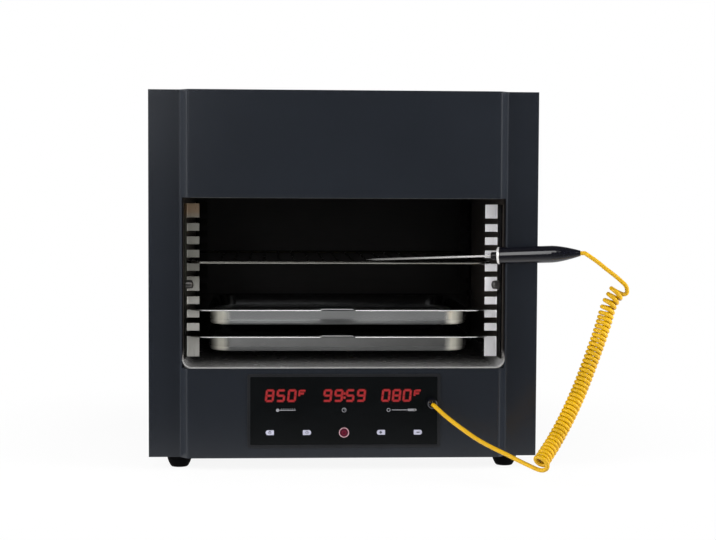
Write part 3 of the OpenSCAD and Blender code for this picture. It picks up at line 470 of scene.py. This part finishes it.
mats = {s.name: s.mat for s in surfaces}
node_slot = {s["node"]: s["material_slot"] for s in frame["record"]["subparts"]}
# the rear combs' near-black steel is painted shade
NODE_MATS = {"liner_back": "back_steel", "comb_rear_left": "rear_comb_shade_steel",
             "comb_rear_right": "rear_comb_shade_steel", "comb_front_left": "comb_left_shaded_steel",
             "probe_ferrule": "ferrule_steel", "comb_screws": "screw_steel"}
for name, obj in nodes.items():
    obj.data.materials.clear()
    obj.data.materials.append(mats[NODE_MATS.get(name, node_slot[name])])


# Rounded edges on CAD nodes, by width in mm, so that they catch the light
SOFT_EDGES = {"outer_casing": 0.35, "front_fascia": 0.45, "rear_panel": 0.3, "base_plate": 0.3,
              "cavity_liner": 0.25, "comb_front_left": 0.3, "comb_front_right": 0.3,
              "comb_rear_left": 0.3, "comb_rear_right": 0.3, "panel_bezel": 0.3,
              "panel_glass": 0.2, "cable_gland": 0.5, "gland_nut": 0.4, "heater_hood": 0.3}
SHARP_FROM = math.radians(35)


def soften(obj, width):
    weld = obj.modifiers.new("weld", "WELD")
    weld.merge_threshold = 0.01 * MM
    bevel = obj.modifiers.new("bevel", "BEVEL")
    bevel.width = width * MM
    bevel.segments = 2
    bevel.limit_method = "ANGLE"
    bevel.angle_limit = SHARP_FROM
    obj.modifiers.new("normals", "WEIGHTED_NORMAL")


for name, width in SOFT_EDGES.items():
    soften(nodes[name], width)


# New pieces
def place(name, mesh, mat, body="housing", smooth=None):
    """Puts a mesh in the scene on a body, shaded smooth below an angle in degrees."""
    obj = bpy.data.objects.new(name, mesh)
    bpy.context.scene.collection.objects.link(obj)
    mesh.materials.append(mat)
    if smooth is not None:
        mesh.shade_smooth()
        mesh.set_sharp_from_angle(angle=math.radians(smooth))
    if body:
        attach(obj, body)
    return obj


def mesh_from(name, verts, faces):
    mesh = bpy.data.meshes.new(name)
    mesh.from_pydata(verts, [], faces)
    mesh.validate()
    return mesh


# Probe cord: the CAD model's route, in mm, with a thicker jacket, so that its curls lie close
CORD_D, CORD_SIDES = 4.3, 14
JACK = Vector((89.5, 0, 69.4))
PLUG_END = -22.0
COIL_START = Vector((185, -104, 23))
COIL_ROUTE = [COIL_START, *(Vector(p) for p in (
    (192.5, -95.5, 31), (203, -85.5, 43.5), (217.5, -74, 65.5), (233, -61, 93.5),
    (249.5, -50, 131.5), (258, -45, 154), (264.5, -41.5, 173.5), (273.5, -40, 187)))]
COIL_R, COIL_PITCH, COIL_PHASE = 6.05, 4.75, math.radians(60)
TIGHT, LOOSE, LOW_FLARE, TOP_FLARE = 37, 4, 3.0, 1.2
AXIS_STEPS, AXIS_REACH, TURN_POINTS = 8, 4.0, 20
# The lower lead from the jack and to the coil, each from its own end, and the upper lead
JACK_LEAD = ((0.5, -29, 0), (4, -34, -3), (11.5, -39.5, -9.5), (23, -47, -18), (38, -57, -28))
COIL_LEAD = ((-43, 36.5, 11), (-28.5, 26, 5), (-17, 17, 0), (-9.5, 11, -3))
UPPER_LEAD = ((283, -36, 184), (283.5, -36, 188), (282, -36, 192), (278, -35.5, 196),
              (271, -35, 202), (262.5, -34, 208.5), (254.5, -33, 215), (247.5, -32.5, 220))
LOWER_STEPS, UPPER_STEPS = 3, 4


def smooth_line(points, steps):
    """A smooth curve through the points, with so many steps from each to the next."""
    out = []
    n = len(points) - 1
    for i in range(n):
        a, b, c, d = points[max(i - 1, 0)], points[i], points[i + 1], points[min(i + 2, n)]
        for k in range(steps):
            t = k / steps
            out.append(0.5 * (2 * b + (c - a) * t + (2 * a - 5 * b + 4 * c - d) * t * t
                              + (3 * b - a - 3 * c + d) * t ** 3))
    return out + [points[n]]


axis_line = smooth_line(COIL_ROUTE, AXIS_STEPS)
axis_runs = [0.0]
for here, ahead in zip(axis_line, axis_line[1:]):
    axis_runs.append(axis_runs[-1] + (ahead - here).length)
coil_len = axis_runs[-1]
loose_pitch = (coil_len - TIGHT * COIL_PITCH) / LOOSE


def axis_at(s):
    """The point s mm up the axis of the curls."""
    s = min(max(s, 0.0), coil_len)
    i = min(max(bisect.bisect_right(axis_runs, s) - 1, 0), len(axis_line) - 2)
    share = (s - axis_runs[i]) / (axis_runs[i + 1] - axis_runs[i])
    return axis_line[i].lerp(axis_line[i + 1], share)


def axis_frame(s):
    """The axis's direction there, a direction to its right and one behind it."""
    along = (axis_at(s + AXIS_REACH) - axis_at(s - AXIS_REACH)).normalized()
    side = Vector(Y).cross(along).normalized()
    return along, side, along.cross(side)


def curl_point(turn):
    """The cord's middle after so many turns: tight curls, then loose ones, flared at both ends."""
    s = min(turn, TIGHT) * COIL_PITCH + max(turn - TIGHT, 0) * loose_pitch
    a = COIL_PHASE - 2 * math.pi * turn
    low = max(0.0, 1 - turn) ** 2
    top = max(0.0, 1 - (TIGHT + LOOSE - turn) / 2) ** 2
    r = COIL_R + LOW_FLARE * low + TOP_FLARE * top
    _, side, behind = axis_frame(s)
    return axis_at(s) + r * (math.cos(a) * side + math.sin(a) * behind)


def curl_dir(s, pitch, r):
    """The cord's direction at an end of the coil."""
    along, side, behind = axis_frame(s)
    rise = along * (pitch / (2 * math.pi * r))
    return (math.sin(COIL_PHASE) * side - math.cos(COIL_PHASE) * behind + rise).normalized()


def cord_route():
    coil_in = curl_dir(0, COIL_PITCH, COIL_R + LOW_FLARE) * CORD_D / 2
    coil_out = curl_dir(coil_len, loose_pitch, COIL_R + TOP_FLARE) * CORD_D / 2
    curls = [curl_point(i / TURN_POINTS) for i in range((TIGHT + LOOSE) * TURN_POINTS + 1)]
    entry, leave = curls[0] - coil_in, curls[-1] + coil_out
    plug_end = Vector((JACK.x, PLUG_END, JACK.z))
    lower = [plug_end + Vector((0, -CORD_D, 0)), *(JACK + Vector(p) for p in JACK_LEAD),
             *(COIL_START + Vector(p) for p in COIL_LEAD), entry - coil_in]
    upper = [leave + coil_out, *(Vector(p) for p in UPPER_LEAD), PROBE_END + PROBE_DIR * CORD_D]
    return [plug_end, *smooth_line(lower, LOWER_STEPS), entry, *curls, leave,
            *smooth_line(upper, UPPER_STEPS), PROBE_END]


def tube_mesh(name, path, radius, sides):
    """A round tube along a path, its rings carried along without twist, closed at both ends."""
    verts, faces = [], []
    n = len(path)
    tangents = [(path[min(i + 1, n - 1)] - path[max(i - 1, 0)]).normalized() for i in range(n)]
    u = tangents[0].orthogonal().normalized()
    for p, t in zip(path, tangents):
        u = (u - t * u.dot(t)).normalized()
        v = t.cross(u)
        for k in range(sides):
            a = 2 * math.pi * k / sides
            verts.append(p + (u * math.cos(a) + v * math.sin(a)) * radius)
    for i in range(n - 1):
        for k in range(sides):
            a, b = i * sides + k, i * sides + (k + 1) % sides
            faces.append((a, b, b + sides, a + sides))
    faces.append(tuple(range(sides))[::-1])
    faces.append(tuple(range((n - 1) * sides, n * sides)))
    return mesh_from(name, verts, faces)


cord_path = [at(*p) for p in cord_route()]
cord_mesh = tube_mesh("probe_cord", cord_path, CORD_D * MM / 2, CORD_SIDES)
cord = place("probe_cord", cord_mesh, mats["cord_jacket"], None, 60)
at(*axis_at(20))
at(*axis_at(185))
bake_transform(cord)
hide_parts("cord_lower_lead", "curly_cord", "cord_upper_lead")


# Trays: pressed sheets with soft edges, lofted from rounded rectangles, in mm
TRAY_W, TRAY_D, TRAY_T, TRAY_MID, TRAY_SHIFT = 318.0, 265.0, 0.8, 156.5, -3.5
TRAY_RIM, TRAY_DEPTH, TRAY_CORNER, LEAST_CORNER = 20.0, 17.0, 28.0, 6.0
TRAY_LEAN = math.radians(12)
LIP_R, LIP_START, LIP_STEPS = 1.8, TRAY_RIM - 1.0, 5
HEEL_R, HEEL_STEPS = 2.2, 7
FLOOR_INSETS, FLOOR_SAG = (20, 60), 0.1
TAB_MID, TAB_W, TAB_H, TAB_EASE = -3.0, 32.0, 1.4, 2.0
RIM_FLAT = 0.7  # how far in the rim's rounded outer edge reaches
CORNER_STEPS, EDGE_STEPS, TAB_STEPS = 12, 10, 16
UPPER_RIM_Z, LOWER_RIM_Z = 161.3, 133.5


def front_shares():
    """Where the points of a tray's front edge lie on it, from 0 to 1: close around the tab."""
    straight = TRAY_W - 2 * TRAY_CORNER
    low, high = TAB_MID - TAB_W / 2 - TAB_EASE, TAB_MID + TAB_W / 2 + TAB_EASE
    even = [straight * (i / EDGE_STEPS - 0.5) for i in range(1, EDGE_STEPS)]
    near = [low + (high - low) * 0.5 * (1 - math.cos(math.pi * i / TAB_STEPS))
            for i in range(TAB_STEPS + 1)]
    return [x / straight + 0.5 for x in sorted([x for x in even if x < low or x > high] + near)]


def rounded_ring(half_x, half_y, r):
    """Points round a rounded rectangle, as (x, y), the front edge last."""
    out = []
    even = [i / EDGE_STEPS for i in range(1, EDGE_STEPS)]
    corners = ((1, -1), (1, 1), (-1, 1), (-1, -1))
    for k, (sx, sy) in enumerate(corners):
        cx, cy = sx * (half_x - r), sy * (half_y - r)
        for i in range(CORNER_STEPS + 1):
            a = math.radians(-90 + 90 * k + 90 * i / CORNER_STEPS)
            out.append((cx + r * math.cos(a), cy + r * math.sin(a)))
        nx, ny = corners[(k + 1) % 4]
        a = math.radians(90 * k)
        start = out[-1]
        end = (nx * (half_x - r) + r * math.cos(a), ny * (half_y - r) + r * math.sin(a))
        for f in front_shares() if k == 3 else even:
            out.append((start[0] + (end[0] - start[0]) * f, start[1] + (end[1] - start[1]) * f))
    return out


def tab_lift(x, y, inset):
    """How far the upturned tab lifts a point of the front rim."""
    if y > 0 or inset > TAB_EASE:
        return 0.0
    ends = min(1.0, max(0.0, (TAB_W / 2 + TAB_EASE - abs(x - TAB_MID)) / TAB_EASE))
    inner = min(1.0, (TAB_EASE - inset) / (TAB_EASE - RIM_FLAT))
    return TAB_H * ends * ends * (3 - 2 * ends) * inner


def tray_profile():
    """(inset, height) of the tray's upper side, from the rim's outer edge to the floor."""
    steep = math.pi / 2 - TRAY_LEAN
    line = [(0.0, -0.35), (0.25, -0.1), (RIM_FLAT, 0.0), (1.2, 0.0), (TAB_EASE, 0.0),
            (TRAY_RIM * 0.55, 0.0)]
    for i in range(LIP_STEPS + 1):
        a = steep * i / LIP_STEPS
        line.append((LIP_START + LIP_R * math.sin(a), -LIP_R * (1 - math.cos(a))))
    floor = TRAY_T - TRAY_DEPTH
    lip_x, lip_z = line[-1]
    heel_z = floor + HEEL_R * (1 - math.cos(steep))
    heel_x = lip_x + (lip_z - heel_z) * math.tan(TRAY_LEAN)
    for i in range(HEEL_STEPS + 1):
        a = steep * (1 - i / HEEL_STEPS)
        line.append((heel_x + HEEL_R * (math.sin(steep) - math.sin(a)),
                     floor + HEEL_R * (1 - math.cos(a))))
    flat = line[-1][0]
    return line + [(flat + FLOOR_INSETS[0], floor), (flat + FLOOR_INSETS[1], floor - FLOOR_SAG)]


def make_tray(name, node, rim_z):
    rings = []
    for inset, z in tray_profile():
        r = max(TRAY_CORNER - max(inset - TRAY_RIM, 0.0), LEAST_CORNER)
        rings.append([at(x + TRAY_SHIFT, y + TRAY_MID, rim_z + TRAY_T + z + tab_lift(x, y, inset))
                      for x, y in rounded_ring(TRAY_W / 2 - inset, TRAY_D / 2 - inset, r)])
    n = len(rings[0])
    verts = [v for ring in rings for v in ring]
    faces = [(i * n + k, i * n + (k + 1) % n, (i + 1) * n + (k + 1) % n, (i + 1) * n + k)
             for i in range(len(rings) - 1) for k in range(n)]
    faces.append(tuple(range((len(rings) - 1) * n, len(rings) * n)))
    obj = place(name, mesh_from(name, verts, faces), mats["tray_steel"], node, 50)
    thick = obj.modifiers.new("sheet", "SOLIDIFY")
    thick.thickness = TRAY_T * MM
    thick.offset = -1.0
    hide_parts(node)


make_tray("upper_tray", "upper_pan", UPPER_RIM_Z)
make_tray("lower_tray", "lower_pan", LOWER_RIM_Z)


# Panel graphics: flat shapes in mm on the glass, as (x, z)
GLASS_Y = -1.0


def flat_plates(name, shapes, lift, depth, surface):
    """Plates cut from outlines in the panel's plane, standing lift mm off the glass."""
    bm = bmesh.new()
    front, back = GLASS_Y - lift - depth, GLASS_Y - lift
    for shape in shapes:
        f = [bm.verts.new(at(x, front, z)) for x, z in shape]
        b = [bm.verts.new(at(x, back, z)) for x, z in shape]
        bm.faces.new(f)
        bm.faces.new(b[::-1])
        for i in range(len(shape)):
            j = (i + 1) % len(shape)
            bm.faces.new((f[j], f[i], b[i], b[j]))
    bmesh.ops.recalc_face_normals(bm, faces=bm.faces)
    mesh = bpy.data.meshes.new(name)
    bm.to_mesh(mesh)
    bm.free()
    return place(name, mesh, surface.mat)


def arc_point(x, z, r, degrees):
    a = math.radians(degrees)
    return x + r * math.cos(a), z + r * math.sin(a)


def disc(x, z, r, n=24):
    return [arc_point(x, z, r, 360 * i / n) for i in range(n)]


def ring_shapes(x, z, r_out, r_in, n, start=0.0, sweep=360.0):
    """A ring, or part of one, as n short pieces."""
    turns = [start + sweep * i / n for i in range(n + 1)]
    return [[arc_point(x, z, r_in, a), arc_point(x, z, r_out, a),
             arc_point(x, z, r_out, b), arc_point(x, z, r_in, b)] for a, b in zip(turns, turns[1:])]


def bar_shape(x0, x1, z0, z1):
    return [(x0, z0), (x1, z0), (x1, z1), (x0, z1)]


# Readouts: seven-bar digits, each at the x of its left side, and a small raised unit letter
SEGMENTS = {"0": "abcdef", "5": "afgcd", "8": "abcdefg", "9": "abcdfg"}
DIGIT_W, DIGIT_H, DIGIT_Z = 8.0, 12.1, 70.4
BAR, BAR_GAP, SLANT, DOT_R = 1.28, 0.22, 0.1, 0.85
UNIT_W, UNIT_H, UNIT_BAR = 6.4, DIGIT_H * 0.56, BAR * 0.42
HALO = 0.7
READOUTS = {
    "temperature": [(-80.1, "8"), (-68.8, "5"), (-57.5, "0"), (-46.5, "unit")],
    "timer": [(-20.9, "9"), (-9.6, "9"), (0.4, ":"), (2.2, "5"), (13.5, "9")],
    "probe": [(38.9, "0"), (49.8, "8"), (60.7, "0"), (71.8, "unit")],
}


def slanted(x, z, pts):
    """Moves an outline to (x, z) and leans it about the middle height of the digits."""
    return [(x + px + SLANT * (pz + z - DIGIT_Z - DIGIT_H / 2), z + pz) for px, pz in pts]


def segment(x, which, grow):
    """Outline of one bar of the digit at x, with pointed ends."""
    w, h, mid, b = DIGIT_W, DIGIT_H, DIGIT_H / 2, BAR / 2
    ends = {"a": ((b, h - b), (w - b, h - b)), "d": ((b, b), (w - b, b)),
            "g": ((b, mid), (w - b, mid)),
            "f": ((b, mid), (b, h - b)), "b": ((w - b, mid), (w - b, h - b)),
            "e": ((b, b), (b, mid)), "c": ((w - b, b), (w - b, mid))}
    (x0, z0), (x1, z1) = ends[which]
    gap, t = BAR_GAP - grow, b + grow
    if z0 == z1:
        pts = [(x0 + gap, z0), (x0 + gap + b, z0 + t), (x1 - gap - b, z0 + t), (x1 - gap, z0),
               (x1 - gap - b, z0 - t), (x0 + gap + b, z0 - t)]
    else:
        pts = [(x0, z0 + gap), (x0 - t, z0 + gap + b), (x0 - t, z1 - gap - b), (x0, z1 - gap),
               (x0 + t, z1 - gap - b), (x0 + t, z0 + gap + b)]
    return slanted(x, DIGIT_Z, pts)


def unit_bars(x, grow):
    """Outlines of the unit letter's three bars."""
    t, cross = UNIT_BAR + grow, UNIT_H * 0.42
    bars = [bar_shape(0.8, UNIT_W, UNIT_H - 2 * t, UNIT_H),
            bar_shape(0.5 - t, 0.5 + t, 0.2, UNIT_H - 0.6),
            bar_shape(0.8, UNIT_W * 0.8, cross - t, cross + t)]
    return [slanted(x, DIGIT_Z + DIGIT_H - UNIT_H, pts) for pts in bars]


def digits(places, grow):
    """Outlines of one readout, each bar grown by so much."""
    shapes = []
    for x, what in places:
        if what == ":":
            shapes += [disc(x, DIGIT_Z + DIGIT_H * k, DOT_R + grow, 12) for k in (0.32, 0.68)]
        elif what == "unit":
            shapes += unit_bars(x, grow)
        else:
            shapes += [segment(x, which, grow) for which in SEGMENTS[what]]
    return shapes


digit_red = glowing("digit_red", (1.0, 0.04, 0.05), 0.14)
halo_red = glowing("halo_red", (0.6, 0.01, 0.01), 0.07)
for title, places in READOUTS.items():
    halo = flat_plates("readout_halo_" + title, digits(places, HALO), 0.0, 0.02, halo_red)
    lit = flat_plates("readout_" + title, digits(places, 0.0), 0.02, 0.03, digit_red)


# Printed signs and keys
print_white = moulded("print_white", (0.38, 0.38, 0.47), (0.4, 0.5))
print_grey = moulded("print_grey", (0.23, 0.23, 0.25), (0.4, 0.5))
print_dark = moulded("print_dark", (0.008, 0.008, 0.02), (0.4, 0.5))
print_red = moulded("print_red", (0.15, 0.01, 0.025), (0.35, 0.45), gloss=0.15)
print_pink = moulded("print_pink", (0.42, 0.25, 0.28), (0.4, 0.5))
print_wine = moulded("print_wine", (0.05, 0.003, 0.012), (0.35, 0.45), gloss=0.15)
SIGN_Z = 61.5
TICK_PITCH = 2.2
KEY_Z, KEY_W, KEY_H, KEY_R = 38.4, 8.5, 5.0, 0.6
KEY_IN, KEY_OUT = 38, 76  # how far the keys lie from the middle
POWER_Z = 38.3


def thermometer(x0, x1, z):
    """A thermometer lying on its side, with tick marks."""
    bulb, end = x0 + 1.9, x1 - 1
    shapes = [disc(bulb, z, 1.7), bar_shape(bulb + 1.2, end, z - 0.42, z + 0.42),
              disc(end, z, 0.42, 12)]
    x = bulb + 4
    while x < end:
        shapes.append(bar_shape(x - 0.22, x + 0.22, z + 0.8, z + 1.9))
        x += TICK_PITCH
    return shapes


def clock(x, z):
    return ring_shapes(x, z, 2.3, 1.75, 28) + [bar_shape(x - 0.22, x + 0.22, z, z + 1.4),
                                               bar_shape(x, x + 1.1, z - 0.22, z + 0.22)]


def probe_sign(x0, x1, z):
    """A probe with a thick handle and a thin needle, and a ring at its tip."""
    grip, needle = x1 - 9, x0 + 6
    return [disc(x1 - 1.2, z, 1.2, 16), bar_shape(grip, x1 - 1.2, z - 1.2, z + 1.2),
            bar_shape(needle, grip, z - 0.35, z + 0.35),
            [(x0 + 4.6, z), (needle, z - 0.35), (needle, z + 0.35)],
            *ring_shapes(x0 + 1.9, z, 1.9, 1.35, 24)]


def key_shape(x, round_left):
    """A key with one round end and one square end with small corners."""
    h, w, r = KEY_H / 2, KEY_W / 2, KEY_R
    end = [(w - h * 0.9 + h * 0.9 * math.cos(math.radians(a)), h * math.sin(math.radians(a)))
           for a in range(-90, 91, 12)]
    square = [arc_point(-w + r, s * (h - r), r, a)
              for s, arc in ((1, range(90, 181, 30)), (-1, range(180, 271, 30))) for a in arc]
    side = -1 if round_left else 1
    return [(x + side * px, KEY_Z + pz) for px, pz in end + square]


def key_bar(x, half, thick):
    """A level bar on a key, so much to either side of x."""
    return bar_shape(x - half, x + half, KEY_Z - thick, KEY_Z + thick)


signs = flat_plates("panel_signs", thermometer(-69.9, -48.9, SIGN_Z) + clock(0, SIGN_Z)
                    + probe_sign(43.8, 74.5, SIGN_Z), 0.0, 0.03, print_grey)
keys = flat_plates("panel_keys", [key_shape(-KEY_OUT, True), key_shape(-KEY_IN, False),
                                  key_shape(KEY_IN, True), key_shape(KEY_OUT, False)],
                   0.0, 0.03, print_white)
marks = [*ring_shapes(-KEY_OUT, KEY_Z, 1.5, 1.0, 20),
         bar_shape(-KEY_OUT - 0.25, -KEY_OUT + 0.25, KEY_Z, KEY_Z + 1.9),
         *ring_shapes(-KEY_IN, KEY_Z, 1.6, 1.15, 24),
         bar_shape(-KEY_IN - 0.2, -KEY_IN + 0.2, KEY_Z, KEY_Z + 1.1),
         bar_shape(-KEY_IN, -KEY_IN + 0.9, KEY_Z - 0.2, KEY_Z + 0.2),
         key_bar(KEY_IN - 0.2, 1.5, 0.55), key_bar(KEY_IN - 0.2, 0.55, 1.5),
         key_bar(KEY_OUT + 0.2, 1.6, 0.55)]
key_marks = flat_plates("panel_key_marks", marks, 0.03, 0.02, print_dark)
power_ring = flat_plates("power_ring", ring_shapes(0, POWER_Z, 5.2, 4.3, 48), 0.0, 0.03, print_pink)
power_disc = flat_plates("power_disc", [disc(0, POWER_Z, 4.2, 40)], 0.0, 0.02, print_wine)
power_sign = flat_plates("power_sign", [*ring_shapes(0, POWER_Z - 0.1, 2.3, 1.75, 30, 120, 300),
                                        bar_shape(-0.28, 0.28, POWER_Z + 0.1, POWER_Z + 2.7)],
                         0.02, 0.02, print_red)


# Floor
FLOOR_SIZE, FLOOR_Z = 8.0, -0.0004
FLOOR_SHADOW = (0.25, 0.6)  # how far out the shadow fades
FLOOR_SIDE, FLOOR_NEAR, FLOOR_AHEAD = 0.75, 0.22, 0.42  # how bright reflections show it
NEAR_Y, AHEAD_Y = (-0.42, -0.18), (-0.65, -0.45)


def make_floor():
    """A pale floor: a shadow near the object, white further out, dim before it in reflections."""
    s = Shader("floor", (0.9, 0.9, 0.9), 0.7, gloss=0.05)
    tex = s.node("ShaderNodeTexCoord")
    far = s.node("ShaderNodeVectorMath", operation="LENGTH")
    s.link(tex.outputs["Object"], far.inputs[0])
    seen = s.calc("MULTIPLY", s.ease(far.outputs["Value"], 0.9, 1.0, *FLOOR_SHADOW),
                  s.ray_share("Is Camera Ray", "Is Glossy Ray", "Is Transmission Ray"))
    back = s.place_along(Y)
    mirrored = s.calc("MULTIPLY", s.ease(back, FLOOR_NEAR, FLOOR_SIDE, *NEAR_Y),
                      s.ease(back, FLOOR_AHEAD, 1.0, *AHEAD_Y))
    white = s.node("ShaderNodeEmission")
    s.link(s.pick(s.ray_share("Is Camera Ray"), mirrored, 1.0), white.inputs["Strength"])
    mix = s.node("ShaderNodeMixShader")
    s.link(seen, mix.inputs["Fac"])
    s.link(s.bsdf.outputs["BSDF"], mix.inputs[1])
    s.link(white.outputs["Emission"], mix.inputs[2])
    s.link(mix.outputs["Shader"], s.tree.nodes["Material Output"].inputs["Surface"])
    mesh = mesh_from("floor", [(x * FLOOR_SIZE, y * FLOOR_SIZE, FLOOR_Z)
                               for x, y in ((-1, -1), (1, -1), (1, 1), (-1, 1))], [(0, 1, 2, 3)])
    obj = place("floor", mesh, s.mat, None)


# Light
WORLD_LIGHT, WORLD_FRONT, WORLD_ABOVE = 0.2, 0.035, 0.06
WORLD_TURN, WORLD_RISE = (-0.86, -0.42), (0.3, 0.8)  # where it changes, by direction
LAMPS = (  # name, place, aim, size, power, and whether reflections show it
    ("softbox_left", (-0.5, -1.72, 1.12), (-0.2, -0.1, 1.12), (0.24, 1.55), 2.9, True),
    ("softbox_high", (-0.14, -1.72, 1.45), (-0.14, -0.1, 1.45), (0.48, 0.95), 3.0, True),
    ("softbox_right", (0.85, -1.7, 0.85), (-0.1, 0.1, 0.16), (0.35, 0.5), 1.3, True),
    ("front", (0.35, -2.2, 0.35), (0, -0.15, 0.2), (1.0, 1.0), 11.0, False),
    ("side_left", (-1.55, -0.62, 0.55), (0, -0.2, 0.2), (1.0, 1.3), 40.0, False),
    ("side_right", (1.55, -0.62, 0.55), (0, -0.2, 0.2), (1.0, 1.3), 39.0, False),
    ("top", (0, 0.3, 2.2), (0, 0, 0), (1.6, 1.6), 10.0, False),
)


def make_world():
    """White to the eye; in reflections white behind and beside the object, else dim."""
    world = bpy.data.worlds.new("studio")
    bpy.context.scene.world = world
    world.use_nodes = True
    g = Graph(world.node_tree)
    background = g.tree.nodes["Background"]
    tex = g.node("ShaderNodeTexCoord")
    split = g.node("ShaderNodeSeparateXYZ")
    g.link(tex.outputs["Generated"], split.inputs[0])
    shine = g.calc("MULTIPLY", g.ease(split.outputs["Y"], WORLD_FRONT, 1.0, *WORLD_TURN),
                   g.ease(split.outputs["Z"], 1.0, WORLD_ABOVE, *WORLD_RISE))
    unseen = g.pick(g.ray_share("Is Glossy Ray", "Is Transmission Ray"), WORLD_LIGHT, shine)
    g.link(g.pick(g.ray_share("Is Camera Ray"), unseen, 1.0), background.inputs["Strength"])
    background.inputs["Color"].default_value = (1, 1, 1, 1)


def area_light(name, place_at, aim, size, power, mirrored):
    data = bpy.data.lights.new(name, "AREA")
    data.shape = "RECTANGLE"
    data.size, data.size_y = size
    data.energy = power
    obj = bpy.data.objects.new(name, data)
    obj.location = place_at
    obj.rotation_mode = "QUATERNION"
    obj.rotation_quaternion = (Vector(aim) - Vector(place_at)).to_track_quat("-Z", "Y")
    obj.visible_camera = False
    obj.visible_glossy = mirrored
    bpy.context.scene.collection.objects.link(obj)


make_floor()
make_world()
for lamp in LAMPS:
    area_light(*lamp)
bpy.context.scene.view_settings.view_transform = "Standard"
